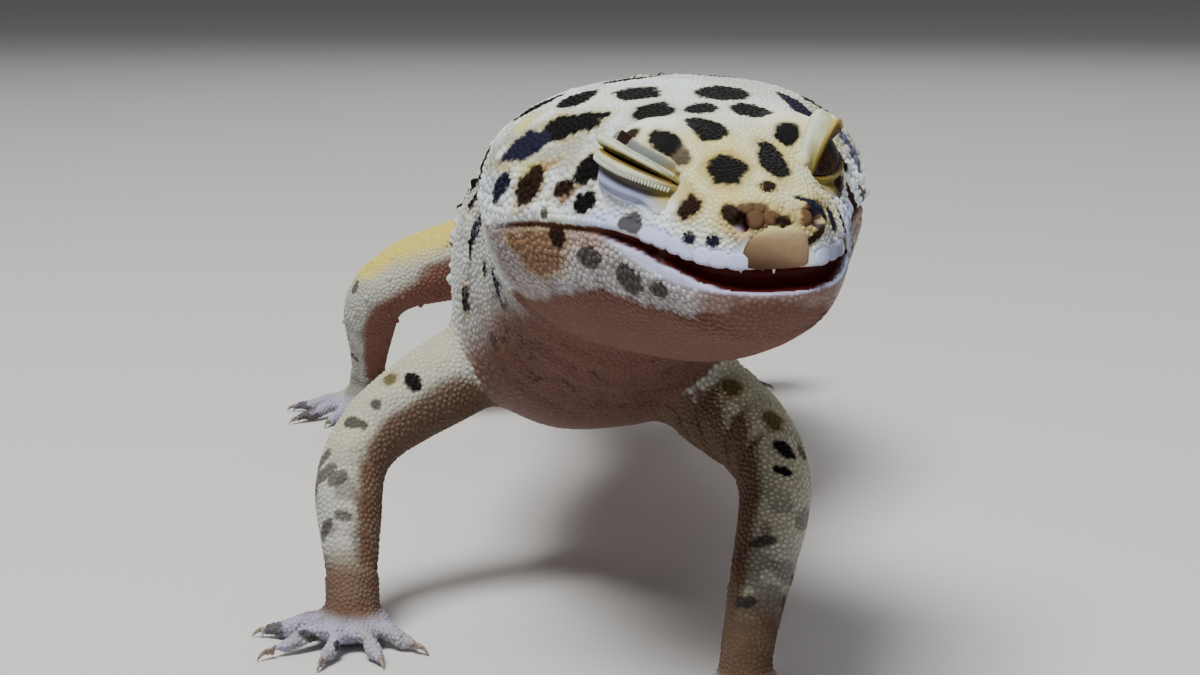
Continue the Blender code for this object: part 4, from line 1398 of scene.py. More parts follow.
def close_pairs(points, reach):
    """All pairs of points nearer to each other than this."""
    pairs = near_pairs(points, points, reach)
    return pairs[pairs[:, 0] < pairs[:, 1]]


def sown(skin, sizes, chance):
    """Random places on the skin, denser where the scales are small."""
    a, b, c = (skin.points[skin.triangles[:, i]] for i in range(3))
    area = np.linalg.norm(np.cross(b - a, c - a), axis=1) / 2
    size = sizes[skin.triangles].mean(axis=1)
    density = area / (0.866 * size**2) * 4.0
    total = int(density.sum())
    edge = np.cumsum(density) / density.sum()
    which = np.searchsorted(edge, (np.arange(total) + chance.random(total)) / total)
    which = np.minimum(which, len(area) - 1)
    s, t = chance.random((2, total))
    over = s + t > 1
    s, t = np.where(over, 1 - s, s), np.where(over, 1 - t, t)
    place = a[which] + (b - a)[which] * s[:, None] + (c - a)[which] * t[:, None]
    return place, size[which]


def thinned(points, sizes, chance):
    """Which points to keep so that none are too near each other."""
    pairs = close_pairs(points, sizes.max() * 0.84)
    apart = np.linalg.norm(points[pairs[:, 0]] - points[pairs[:, 1]], axis=1)
    pairs = pairs[apart < 0.42 * (sizes[pairs[:, 0]] + sizes[pairs[:, 1]])]
    rank = chance.random(len(points))
    alive = np.ones(len(points), bool)
    kept = np.zeros(len(points), bool)
    while alive.any():
        here, there = pairs.T
        beaten = np.zeros(len(points), bool)
        beaten[np.where(rank[here] < rank[there], there, here)] = True
        won = alive & ~beaten
        kept |= won
        beside = np.zeros(len(points), bool)
        beside[here[won[there]]] = True
        beside[there[won[here]]] = True
        alive &= ~(won | beside)
        pairs = pairs[alive[here] & alive[there]]
    return kept


def relaxed(points, sizes, fixed, fixed_sizes, skin, times=4):
    """Spreads the points evenly over the skin, round those that are fixed."""
    for _ in range(times):
        here, there = close_pairs(points, sizes.max() * 1.1).T
        beside, stone = near_pairs(points, fixed, 0.55 * (sizes.max() + fixed_sizes.max())).T
        first, second = np.r_[here, there, beside], np.r_[there, here, stone + len(points)]
        every, every_size = np.vstack([points, fixed]), np.r_[sizes, fixed_sizes]
        gap = points[first] - every[second]
        apart = np.maximum(np.linalg.norm(gap, axis=1), 1e-6)
        push = np.maximum(0.55 * (sizes[first] + every_size[second]) - apart, 0) / apart * 0.3
        shift = np.column_stack(
            [np.bincount(first, gap[:, axis] * push, len(points)) for axis in range(3)]
        )
        length = np.maximum(np.linalg.norm(shift, axis=1), 1e-9)
        shift *= np.minimum(1.0, 0.25 * sizes / length)[:, None]
        points = skin.surface.nearest(points + shift)[0]
    return points


def scale_shape(kind, square):
    """One scale of this kind: its points, how bright each is (painted shade round its foot, a painted
    highlight on its top), and its triangles.
    """
    sides, rings = SCALE_SHAPES[kind]
    angle = 2 * np.pi * np.arange(sides) / sides
    x, y = np.cos(angle), np.sin(angle)
    reach = (np.abs(x) ** square + np.abs(y) ** square) ** (-1 / square)
    x, y = x * reach, y * reach
    flat = [np.column_stack([x * r, y * r, np.full(sides, h)]) for r, h in rings]
    shape = np.vstack([*flat, [[0, 0, 1.0]]])
    inner = len(rings) - 1
    # Painted shade on the foot of each scale, where it meets its neighbours, and a painted highlight
    # on its top.
    shade = np.repeat((0.84, 1.0, 1.04), (sides, sides * inner, 1))
    # Of each ring, the triangles on its lower edge stand before those on its upper one.
    walls = grid_faces(len(rings), sides, closed=True)
    walls = np.stack([walls[:, [0, 1, 2]], walls[:, [0, 2, 3]]], axis=1).reshape(inner, sides, 2, 3)
    k = np.arange(sides)
    cap = np.column_stack([k, (k + 1) % sides, np.full(sides, sides)]) + inner * sides
    return shape, shade, np.vstack([walls.transpose(0, 2, 1, 3).reshape(-1, 3), cap])


def scale_mesh(kind, places, normals, along, lengths, widths, heights, colours, roots, square=2.0):
    """Points, triangles, colours and patch places of many scales of one kind.

    The colours are given for each scale, or as a rule that gives them for the points of each.
    """
    shape, shade, triangles = scale_shape(kind, square)
    along = unit(along - normals * (along * normals).sum(axis=1, keepdims=True))
    beside = np.cross(normals, along)
    count, size = len(places), len(shape)
    points = (
        places[:, None]
        + along[:, None] * (shape[:, 0] * lengths[:, None])[..., None]
        + beside[:, None] * (shape[:, 1] * widths[:, None])[..., None]
        + normals[:, None] * (shape[:, 2] * heights[:, None])[..., None]
    ).reshape(-1, 3)
    faces = (triangles + (np.arange(count) * size)[:, None, None]).reshape(-1, 3)
    owner = np.repeat(np.arange(count), size)
    tint = colours(points, owner) if callable(colours) else colours[owner]
    # The scales' colours carry painted shade at their feet and a painted highlight on their tops.
    tint = tint * np.tile(shade, count)[:, None]
    patch = (roots[:, None] + shape[:, :2] * PATCH_REACH).reshape(-1, 2)
    return points, faces, tint, patch


class Coat:
    """Scales gathered for the pieces of the coat."""

    def __init__(self):
        self.lots = {name: [] for name in COATS}

    def add(self, kind, places, parts, chosen, colours, square=2.0, **sizes):
        """Adds the chosen scales, each to the piece of its part of the body.

        The colours are one for each scale, or a rule for points and the scale each belongs to.
        """

        def tone(some):
            """The colours of some of the scales."""
            if not callable(colours):
                return colours[some]
            index = np.flatnonzero(some)
            return lambda points, owner: colours(points, index[owner])

        owner = np.array([self.piece_of(name) for name in FLESH])[parts]
        for piece in COATS:
            some = chosen & (owner == piece)
            if some.any():
                values = {key: value[some] for key, value in sizes.items()}
                lot = scale_mesh(kind, places[some], colours=tone(some), square=square, **values)
                self.lots[piece].append(lot)

    @staticmethod
    def piece_of(part):
        return next(piece for piece, (_, endings) in COATS.items() if part.endswith(endings))

    def finish(self, material):
        """Makes a piece of each part of the coat."""
        for piece, lots in self.lots.items():
            points, faces, colours, patches = zip(*lots)
            starts = np.cumsum([0, *map(len, points[:-1])])
            faces = np.vstack([some + start for some, start in zip(faces, starts)])
            mesh = mesh_of(piece, np.vstack(points), faces)
            paint(mesh, np.vstack(colours), 0.5)
            layer = mesh.uv_layers.new(name="OFBake")
            patch = np.vstack(patches)[faces.ravel()]
            layer.data.foreach_set("uv", patch.astype(np.float32).ravel())
            add_piece(piece, mesh, material)


def unwrap_of(item):
    """A rougher copy of the skin: its surface, its points, its triangles, and these laid out flat."""
    rough = new_object("skin_pattern", item.data.copy())
    apply_modifier(rough, "DECIMATE", ratio=PATTERN_FACES / len(rough.data.polygons))
    select_only(rough)
    bpy.ops.object.mode_set(mode="EDIT")
    bpy.ops.mesh.select_all(action="SELECT")
    bpy.ops.uv.smart_project(angle_limit=math.radians(70), island_margin=0.003)
    bpy.ops.object.mode_set(mode="OBJECT")
    mesh = rough.data
    points, triangles = points_of(mesh), triangles_of(mesh)
    loops = values_of(mesh.loop_triangles, "loops", 3, np.int32)
    flat = values_of(mesh.uv_layers.active.data, "uv", 2)[loops]
    bpy.data.objects.remove(rough)
    return Surface(points, triangles.tolist()), points, triangles, flat


def places_on(pattern, points):
    """Where points of the skin are on its flat pattern."""
    surface, corners, triangles, flat = pattern
    found, face = surface.nearest(points)
    a, b, c = (corners[triangles[face, i]] for i in range(3))
    u, v, w = b - a, c - a, found - a
    uu, uv, vv = (u * u).sum(1), (u * v).sum(1), (v * v).sum(1)
    wu, wv = (w * u).sum(1), (w * v).sum(1)
    bottom = np.maximum(uu * vv - uv * uv, 1e-12)
    s = np.clip((vv * wu - uv * wv) / bottom, 0, 1)
    t = np.clip((uu * wv - uv * wu) / bottom, 0, 1)
    low = flat[face, 0] * (1 - s - t)[:, None]
    return low + flat[face, 1] * s[:, None] + flat[face, 2] * t[:, None]


def spacing_at(points, parts):
    """How far apart the plain scales are at each point."""
    size = by_part(SPACING, LIMB_SPACING)[parts]
    back, side, up = on_head(points)
    above = up - lip_height(back)
    below = -above - mouth_gap(back) / 2
    head = CROWN_SPACING + 0.09 * ease(4.5, 2.5, above) * ease(3.0, 5.0, back)
    head = head + 0.06 * ease(5.0, 7.5, np.abs(side)) * ease(7.0, 12.0, back)
    beads = ease(0.6, 1.0, below) * ease(5.4, 4.6, below) * ease(1.2, 3.0, back)
    jaw = 0.33 + 0.07 * (beads * ease(24.0, 20.0, back))
    size = np.where(parts == 0, head, np.where(parts == 1, jaw, size))
    distance, angle = along_body(points)
    under = ease(110.0, 135.0, np.abs(angle)) * ease(30.0, 50.0, distance)
    return np.where(on_trunk(parts), size + 0.08 * under, size)


def tubercle_gap(points, parts):
    """How far apart the tubercles are; very far where there are none."""
    back, side, up = on_head(points)
    distance, angle = along_body(points)
    above = up - lip_height(back)
    cheek = ease(9.0, 12.0, back) * ease(7.2, 5.8, up) * (above > 0.5) * ease(5.0, 7.5, np.abs(side))
    nape = 0.5 * ease(21.0, 26.0, back) * (above > 2.0)
    upper = ease(118.0, 96.0, np.abs(angle)) * ease(28.0, 36.0, distance)
    many = np.where(parts == 0, np.maximum(cheek / 1.15**2, nape / 2.0**2), 0.0)
    many = np.where(on_trunk(parts), upper / 2.1**2, many)
    hind_leg = (parts >= FIRST_LIMB) & (back > 60.0) & (points[:, 2] > 7.0)
    many = np.where(hind_leg, 1 / 2.4**2, many)
    return 1 / np.sqrt(np.maximum(many, 1e-4))


def tubercle_size(points, parts):
    """The tubercles are smaller on the head, the neck, the legs and the tail's tip."""
    distance, trunk = along_body(points)[0], on_trunk(parts)
    size = np.where(trunk & (distance > 195), 0.7, TUBERCLE_SIZE)
    size = np.where(trunk & (distance < 46), 0.62, size)
    return np.where((parts >= FIRST_LIMB) | (parts == 0), SMALL_TUBERCLE, size)


def in_rings(places, surface):
    """Draws the tubercles of the tail into its rings."""
    distance = along_body(places)[0]
    middle = (np.floor((distance - TAIL_FROM) / TAIL_RING) + 0.5) * TAIL_RING + TAIL_FROM
    pull = np.where(distance > TAIL_FROM, 0.8 * (middle - distance), 0.0)
    return surface.nearest(places + SPINE_WAYS[spine_index(distance)] * pull[:, None])[0]


def bare(points, normals):
    """Where no scales grow: in the mouth, on the lids, lip and shields, and under the feet."""
    empty = in_mouth(points, normals) > 0.25
    for side, sign in SIGN.items():
        cover, reach = lid_cover(side, points)
        empty |= (cover < 0.9) | (reach < EYE_RADIUS + 0.2)
        away, depth, _ = round_nostril(sign, points)
        empty |= (away < 1.5) & (np.abs(depth) < NOSTRIL_DEEP)
        empty |= round_ear(sign, points) < 1.15
    empty |= (snout_plate(points) > 0.4) | (mouth_line(points) > 0.6)
    empty |= (lower_lip(points) > 0.5) | (upper_lip(points) > 0.5)
    return empty | ((normals[:, 2] < -0.6) & (points[:, 2] < 0.3))


def lip_places(lift, length, start, end):
    """Places along both upper lips at one height above the lip's edge, evenly spaced."""
    back, side = point_along(np.arange(start, end, length), run_along(LIP_OUTLINE), LIP_OUTLINE).T
    return np.vstack([in_head(back, side * sign, lip_height(back) + lift) for sign in (-1, 1)])


class Scales:
    """Scales of one kind: where they stand, how large and how square they are."""

    def __init__(self, kind, places, sizes, lengths, widths, heights, square=2.0):
        self.kind = kind
        self.places = places
        self.sizes = np.broadcast_to(sizes, len(places)).astype(float)
        self.lengths, self.widths, self.heights, self.square = lengths, widths, heights, square


def fixed_scales(skin, chance):
    """Scales with places of their own: the plates of the lips and the nose, and the tubercles."""

    def nearest(points):
        return skin.surface.nearest(points)[0]

    *nose, nose_sizes = np.transpose(NOSE_SCALES)
    lots = [
        Scales("plate", nearest(lip_places(0.66, 1.1, 2.7, 9.6)), 1.1, 1.14, 0.84, 0.055, 2.7),
        Scales("bead", nearest(lip_places(0.36, 0.44, 10.0, 18.0)), 0.44, 1.0, 1.0, 0.3),
        Scales("plate", nearest(in_head(*nose)), nose_sizes, 0.95, 0.95, 0.16, 2.1),
    ]
    taken = np.vstack([lot.places for lot in lots])
    seeds, gaps = sown(skin, tubercle_gap(skin.points, skin.parts), chance)
    use = gaps < 6.0
    seeds, gaps = seeds[use], gaps[use]
    seeds = seeds[thinned(seeds, gaps * 1.05, chance)]
    seeds = in_rings(seeds, skin.surface)
    near = near_pairs(seeds, taken, 0.6)[:, 0]
    seeds = np.delete(seeds, np.unique(near), axis=0)
    parts = nearest_part(seeds)
    sizes = tubercle_size(seeds, parts) * chance.uniform(0.85, 1.15, len(seeds))
    head = parts < 2
    lots.append(Scales("bead", seeds[head], sizes[head], 1.0, 1.0, 0.36))
    lots.append(Scales("cone", seeds[~head], sizes[~head], 1.0, 0.95, 0.42))
    return lots


def plain_scales(skin, fixed, chance):
    """The small scales that fill the skin between the fixed ones."""
    stones = np.vstack([lot.places for lot in fixed])
    stone_sizes = np.concatenate([lot.sizes for lot in fixed])
    places, sizes = sown(skin, spacing_at(skin.points, skin.parts), chance)
    here, there = near_pairs(places, stones, 0.42 * (sizes.max() + stone_sizes.max())).T
    apart = np.linalg.norm(places[here] - stones[there], axis=1)
    here = here[apart < 0.42 * (sizes[here] + stone_sizes[there])]
    free = np.ones(len(places), bool)
    free[here] = False
    places, sizes = places[free], sizes[free]
    kept = thinned(places, sizes, chance)
    places = relaxed(places[kept], sizes[kept], stones, stone_sizes, skin)
    return places, sizes[kept]


def flatness(points, parts):
    """How much lower the scales are than grains: under the body, on the crown, snout and feet."""
    back, _, up = on_head(points)
    above = up - lip_height(back)
    below = -above - mouth_gap(back) / 2
    angle = np.abs(along_body(points)[1])
    low = (0.2 + 0.4 * ease(108.0, 130.0, angle)) * on_trunk(parts)
    throat = np.maximum(ease(3.4, 4.6, below), ease(2.6, 1.2, back))
    low = np.where(parts == 1, 0.1 + 0.55 * throat, low)
    low = np.where(parts == 0, 0.15 + 0.4 * ease(2.2, 4.0, above), low)
    return np.where(parts >= FIRST_LIMB, 0.4, low)


class Skin:
    """The skin's points and triangles, the surface they make, and the solid each point is on."""

    def __init__(self, item):
        mesh = item.data
        self.item = item
        self.points, self.normals = points_of(mesh), normals_of(mesh)
        self.triangles = triangles_of(mesh)
        self.surface = Surface(self.points, self.triangles.tolist())
        self.parts = nearest_part(self.points)

    def normals_at(self, places):
        corners = self.triangles[self.surface.nearest(places)[1]]
        return unit(self.normals[corners].sum(axis=1))


def lie_of(places, parts, chance, spread):
    """The way each scale points: back along the body, with a little disorder."""
    spine = SPINE_WAYS[spine_index(along_body(places)[0])]
    way = np.where((parts > 1)[:, None], spine, BACK)
    return way + spread * chance.normal(size=way.shape)


def colours_of(normals, parts, tone, spots, points, owner):
    """Colours of points that each belong to a scale."""
    return marked(points, normals[owner], parts[owner], spots) * tone[owner][:, None]


def grow(coat, lot, skin, pattern, spots, chance):
    """Adds scales of one kind to the coat, coloured as the skin is where each one stands."""
    plate, places, count = lot.kind == "plate", lot.places, len(lot.places)
    normals = skin.normals_at(places)
    parts = nearest_part(places)
    tone = chance.uniform(0.93, 1.05, count)
    half = 0.54 * lot.sizes * (1.0 if plate else chance.uniform(0.94, 1.05, count))
    coat.add(
        lot.kind,
        places,
        parts,
        np.ones(count, bool) if plate else ~bare(places, normals),
        normals=normals,
        along=lie_of(places, parts, chance, 0.0 if plate else 0.35),
        lengths=half * lot.lengths,
        widths=half * lot.widths,
        heights=lot.sizes * lot.heights * (1 - flatness(places, parts) * (lot.kind != "cone")),
        colours=partial(colours_of, normals, parts, tone, spots),
        roots=places_on(pattern, places),
        square=lot.square,
    )


def dress(skin, spots, lids, material):
    """Covers the skin with scales."""
    chance = np.random.default_rng(7)
    lots = fixed_scales(skin, chance)
    places, sizes = plain_scales(skin, lots, chance)
    beads = (sizes > 0.385) & (nearest_part(places) == 1)
    lots.append(Scales("grain", places[~beads], sizes[~beads], 1.04, 0.98, 0.32))
    lots.append(Scales("bead", places[beads], sizes[beads], 1.0, 1.0, 0.36))
    pattern = unwrap_of(skin.item)
    coat = Coat()
    for lot in lots:
        grow(coat, lot, skin, pattern, spots, chance)
    add_fringes(coat, pattern, lids)
    coat.finish(material)


# ---------------------------------------------------------------- lids, eyes, teeth, claws


def lid_sheet(side, lid, before):
    """A lid as a grid of points from its wet edge out over the skin, with what each row is."""
    form, sign = LIDS[side, lid], LID_SIGN[lid]
    share = np.linspace(-1.36, 1.36, 105)
    turns = share * EYE_HALF_LENGTH
    edge = lid_edge(form, share)
    width, stand, level = (
        np.interp(share, (-1, 0, 1), form[key]) for key in ("width", "stand", "level")
    )
    stand = stand * ease(-1.2, -1.0, share) * ease(1.3, 0.9, share)
    near_corner = ease(1.3, 1.02, np.abs(share))
    sunk = 0.55 * ease(1.2, 1.36, np.abs(share))
    rows = []
    for part, height in RIM:
        inner = (level - EYE_RADIUS + 0.06) * height
        outer = np.maximum(stand * height, form["form"][0][1] * ease(0.3, 0.9, part) * near_corner)
        reach = level + (inner if height < 0 else outer)
        rows.append(from_eye(side, turns, sign * (edge + part * width), reach - sunk))
    rim, last = len(RIM), RIM[-1][0]
    soft_parts = np.linspace(0.0, 1.0, 41)[1:]
    for part in soft_parts:
        rise = sign * (edge + last * width + part * form["soft"])
        way = from_eye(side, turns, rise, np.ones(len(turns))) - eye_place(side)
        skin = [before.hit(eye_place(side) + w * 9.0, -w) - eye_place(side) for w in way]
        skin = np.clip(np.linalg.norm(skin, axis=1), level - 0.05, 4.9) + 0.03
        lift = np.interp(part, *np.array(form["form"]).T) * near_corner
        lift = lift * (ease(-1.05, -0.6, share) if lid == "lower" else 1.0)
        reach = level + (skin - level) * ease(0.0, 0.45, part) + lift
        rows.append(from_eye(side, turns, rise, reach - 0.5 * ease(0.84, 1.0, part) - sunk))
    rows = np.array(rows)
    for _ in range(2):
        rows[rim:-1] = (rows[rim - 1 : -2] + 2 * rows[rim:-1] + rows[rim + 1 :]) / 4
    return rows, np.array([*(part for part, _ in RIM), *(last + soft_parts)]), share


def lid_colours(points, kinds, share, side, lid, spots):
    """Painted shade where the lid turns down into the slit, dark brown at the wet edge, then yellow, a
    pale rim, and outside it the soft skin's colours, some of them painted shade.
    """
    form = LIDS[side, lid]
    flat = points.reshape(-1, 3)
    normals, parts = unit(flat - eye_place(side)), np.zeros(len(flat), int)
    plain = ground(flat, normals, parts)
    colour = marked(flat, normals, parts, spots)
    clear = ease(0.35, 0.8, colour.sum(axis=1) / np.maximum(plain.sum(axis=1), 0.01))
    across = np.repeat(kinds, len(share))
    along = np.tile(share, len(kinds))
    corner = ease(1.28, 1.02, np.abs(along))
    part = across - RIM[-1][0]
    places, tones = zip(*form["tones"])
    tone = point_along(part, places, tones)
    amount = ease(*form["fade"], part) * corner * clear
    if lid == "lower":
        amount = amount * ease(1.15, 0.75, along + 0.25 * part)
        amount = amount * ease(-1.25, -0.95, along - 0.25 * part)
    colour = mix(colour, tone, amount)
    colour = mix(colour, form["rim"], ease(RIM[-1][0] + 0.04, 1.0, across) * corner)
    colour = mix(colour, form["wet"], ease(0.45, 0.2, across) * corner)
    front = ease(0.45, 0.95, along) * ease(0.75, 0.2, part) * corner
    colour = mix(colour, LID_FRONT, 0.8 * front)
    brown = ease(0.3, 0.08, across + 0.22 * (noise(flat, 0.13, 81) - 0.5)) * corner
    colour = mix(colour, LID_BROWN, brown)
    # Painted shade inside the slit, on the wall that goes down to the eye.
    return mix(colour, LID_SLIT_SHADE, ease(0.0, -0.1, across) * corner)


def make_lids(before, spots, material):
    """The four lids; gives back the sheet of each for its fringe."""
    sheets = {}
    for side, lid in LIDS:
        rows, kinds, share = sheets[side, lid] = lid_sheet(side, lid, before)
        faces = grid_faces(len(kinds), len(share))
        if (lid == "upper") == (side == "right"):
            faces = faces[:, ::-1]
        name = f"{side}_{lid}_lid"
        mesh = mesh_of(name, rows.reshape(-1, 3), faces)
        paint(mesh, lid_colours(rows, kinds, share, side, lid, spots), 0.3)
        add_piece(name, mesh, material)
    return sheets


def add_fringes(coat, pattern, sheets):
    """Rows of tiny scales that stand out along the edges of the lids."""
    for side, lid, part, size, colour in FRINGES:
        rows, kinds, share = sheets[side, lid]
        line = rows[int(np.argmin(np.abs(kinds - part)))][np.abs(share) < 0.97]
        run = run_along(line)
        places = point_along(np.arange(0, run[-1], size), run, line)
        count = len(places)
        above = eye_axes(side)[1]
        outward = unit(places - eye_place(side))
        if part > 0.5:
            places = places + 0.3 * size * outward + 0.25 * size * above * LID_SIGN[lid]
        coat.add(
            "bead",
            places,
            np.zeros(count, int),
            np.ones(count, bool),
            normals=outward,
            along=np.tile(above, (count, 1)),
            lengths=np.full(count, size * 0.95),
            widths=np.full(count, size * 0.48),
            heights=np.full(count, size * 0.55),
            colours=np.tile(colour, (count, 1)),
            roots=places_on(pattern, places),
        )


def shield_rows(skin):
    """Rings of points on the shield from its edge to its middle."""
    ring = np.array((*SHIELD_OUTLINE, SHIELD_OUTLINE[0]))
    run = run_along(ring)
    edge = point_along(np.linspace(0, run[-1], 72, endpoint=False), run, ring)
    edge = (edge + np.roll(edge, 1, axis=0) + np.roll(edge, -1, axis=0)) / 3
    middle = edge.mean(axis=0)
    rows = []
    for share, lift in SHIELD_SECTION:
        starts = [in_head(-4.0, side, up) for side, up in middle + (edge - middle) * share]
        rows.append([skin.surface.hit(start, BACK) for start in starts])
        rows[-1] = np.array(rows[-1]) - BACK * SHIELD_RAISED * lift
    return np.array(rows)


def face_forward(work):
    """Turns a sheet's faces round if they point back."""
    normal = sum((face.normal * face.calc_area() for face in work.faces), Vector())
    if normal.dot(Vector(BACK)) > 0:
        bmesh.ops.reverse_faces(work, faces=work.faces)


def shield_colours(points):
    """Brown below, paler and yellow at the top."""
    _, side, up = on_head(points)
    level = up + 0.4 * side
    colours = mix(SHIELD_LOW, SHIELD_HIGH, ease(level.min(), level.max() - 0.6, level))
    colours = mix(colours, PALE_YELLOW, 0.75 * ease(up.max() - 0.7, up.max() - 0.1, up))
    return colours * (0.9 + 0.2 * noise(points, 0.7, 71))[:, None]


def make_shield(skin, material):
    """A smooth horny shield on the tip of the snout."""
    rows = shield_rows(skin)
    points = rows.reshape(-1, 3)
    count, around = rows.shape[:2]
    faces = grid_faces(count, around, closed=True)
    middle = np.arange(around) + (count - 1) * around
    mesh = bpy.data.meshes.new("snout_shield")
    mesh.from_pydata((points * MM).tolist(), [], [*faces.tolist(), middle.tolist()])
    edit(mesh, face_forward)
    mesh.shade_smooth()
    # Painted shade along the shield's edge, where it dips into the skin: its outer two rings are
    # darker.
    shade = np.repeat([0.5, 0.8] + [1.0] * (count - 2), around)
    paint(mesh, shield_colours(points) * shade[:, None], 0.5)
    add_piece("snout_shield", mesh, material)


def make_eyes(material):
    """Each eye is a globe with its iris and pupil laid out on its own plane."""
    for side in SIGN:
        axes = np.array(eye_axes(side))
        bpy.ops.mesh.primitive_uv_sphere_add(segments=64, ring_count=40, radius=EYE_RADIUS * MM)
        item = bpy.context.active_object
        item.name = item.data.name = f"{side}_eyeball"
        points = points_of(item.data)
        if np.linalg.det(axes) < 0:
            item.data.flip_normals()
        turned = sum(np.outer(points[:, i], axes[i]) for i in range(3))
        set_points(item.data, turned + eye_place(side))
        layer = item.data.attributes.new("Iris", "FLOAT_VECTOR", "POINT")
        layer.data.foreach_set("vector", (points / EYE_RADIUS).astype(np.float32).ravel())
        item.data.shade_smooth()
        item.data.materials.clear()
        item.data.materials.append(material)
        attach(item, "root")
        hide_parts(f"{side}_eye")


def horn(base, tip, bend, radius, rings=7, sides=8):
    """A curved cone from its base to its tip, as points and faces."""
    base, tip, bend = np.array(base), np.array(tip), np.array(bend)
    share = np.linspace(0, 1, rings)[:, None]
    line = base * (1 - share) ** 2 + bend * 2 * share * (1 - share) + tip * share**2
    way = unit(np.gradient(line, axis=0))
    side = unit(np.cross(way, (0.03, 0.02, 1.0)))
    up = np.cross(side, way)
    width = radius * (1 - share[:, 0]) ** 0.75 + 0.02
    angle = 2 * np.pi * np.arange(sides) / sides
    ring = side[:, None] * np.cos(angle)[:, None] + up[:, None] * np.sin(angle)[:, None] * 1.15
    points = (line[:, None] + ring * width[:, None, None]).reshape(-1, 3)
    points = np.vstack([points, tip + way[-1] * 0.04, base])
    quads = grid_faces(rings, sides, closed=True).tolist()
    last = (rings - 1) * sides
    ends = [(last + i, last + (i + 1) % sides, rings * sides) for i in range(sides)]
    starts = [((i + 1) % sides, i, rings * sides + 1) for i in range(sides)]
    return points, quads + ends + starts


def face_outward(work):
    """Turns the faces of closed shapes so that they point out."""
    bmesh.ops.recalc_face_normals(work, faces=work.faces)


def add_joined(name, shapes, material):
    """One piece from several small shapes."""
    points, faces, base = [], [], 0
    for some_points, some_faces in shapes:
        points.append(some_points)
        faces += [[i + base for i in face] for face in some_faces]
        base += len(some_points)
    mesh = bpy.data.meshes.new(name)
    mesh.from_pydata((np.vstack(points) * MM).tolist(), [], faces)
    edit(mesh, face_outward)
    mesh.shade_smooth()
    add_piece(name, mesh, material)


def make_claws(material):
    """A small curved claw at the end of each toe."""
    for limb, (x, y, heading) in PALMS.items():
        side, pair = limb.split("_")
        shapes = []
        for length, angle in TOES[pair]:
            turn = math.radians(heading + SIGN[side] * angle)
            ahead = np.array((math.sin(turn), -math.cos(turn), 0.0))
            palm = ORIGIN + (x, y, 0.0)
            reach = PALM_RADIUS + length
            base, bend, tip = (palm + ahead * (reach + past) + (0, 0, up) for past, up in CLAW)
            shapes.append(horn(base, tip, bend, CLAW_RADIUS))
        add_joined(f"{limb}_claws", shapes, material)


def make_teeth(material):
    """Tiny peg teeth along the upper jaw; the points of a few just show below the lip."""
    line = lip_places(0.0, TOOTH_SPACING, 0.5, 11.0)
    shapes = []
    for back, side, up in zip(*on_head(line)):
        at_tip = ease(1.2, 0.4, back)
        middle = in_head(back + 0.35 + 0.4 * at_tip, side - np.sign(side) * 0.8, up)
        long = 0.1 if math.sin(back * 7 + side * 3) > 0.93 else -0.18
        shapes.append(horn(middle + UP * 0.3, middle - UP * long, middle, TOOTH_RADIUS, 5, 6))
    add_joined("teeth", shapes, material)


# ---------------------------------------------------------------- materials


class Nodes:
    """A short hand for building a material's nodes."""

    def __init__(self, name):
        self.material = bpy.data.materials.new(name)
        self.material.use_nodes = True
        self.tree = self.material.node_tree
        self.shader = self.tree.nodes["Principled BSDF"]

    def add(self, kind, inputs=None, **settings):
        node = self.tree.nodes.new(kind)
        for key, value in settings.items():
            setattr(node, key, value)
        for key, value in (inputs or {}).items():
            self.set(node.inputs[key], value)
        return node

    def set(self, socket, value):
        if hasattr(value, "is_output"):
            self.tree.links.new(value, socket)
        else:
            socket.default_value = value

    def finish(self, **inputs):
        for key, value in inputs.items():
            self.set(self.shader.inputs[key.replace("_", " ")], value)
        return self.material


def place_node(nodes):
    return nodes.add("ShaderNodeTexCoord").outputs["Object"]


def clouds(nodes, place, size, detail=3.0):
    """Soft random values that change over this many millimetres."""
    inputs = {"Vector": place, "Scale": 1 / (size * MM), "Detail": detail}
    return nodes.add("ShaderNodeTexNoise", inputs).outputs["Fac"]


def bumped(nodes, height, depth, strength, over=None, **settings):
    """Relief this many millimetres deep, laid over another one if that is given."""
    inputs = {"Height": height, "Distance": depth * MM, "Strength": strength}
    if over:
        inputs["Normal"] = over
    return nodes.add("ShaderNodeBump", inputs, **settings).outputs["Normal"]


def ramp(nodes, value, dark, low, pale, high):
    """A colour that runs from dark, where the value is low, to pale, where it is high."""
    node = nodes.add("ShaderNodeValToRGB", {"Fac": value})
    for stop, place, colour in zip(node.color_ramp.elements, (low, high), (dark, pale)):
        stop.position = place
        stop.color = (*colour, 1.0)
    return node.outputs["Color"]


def mapped(nodes, value, low, high, new_low, new_high):
    """The value moved from the range low to high into the new one."""
    inputs = {"Value": value, "From Min": low, "From Max": high, "To Min": new_low, "To Max": new_high}
    return nodes.add("ShaderNodeMapRange", inputs).outputs["Result"]


def tinted(nodes, colour, amount, size):
    """The colour made a little lighter and darker in soft patches."""
    grain = clouds(nodes, place_node(nodes), size)
    level = mapped(nodes, grain, 0.3, 0.7, 1 - amount, 1 + amount)
    hue = nodes.add("ShaderNodeHueSaturation", {"Color": colour, "Value": level})
    return hue.outputs["Color"]


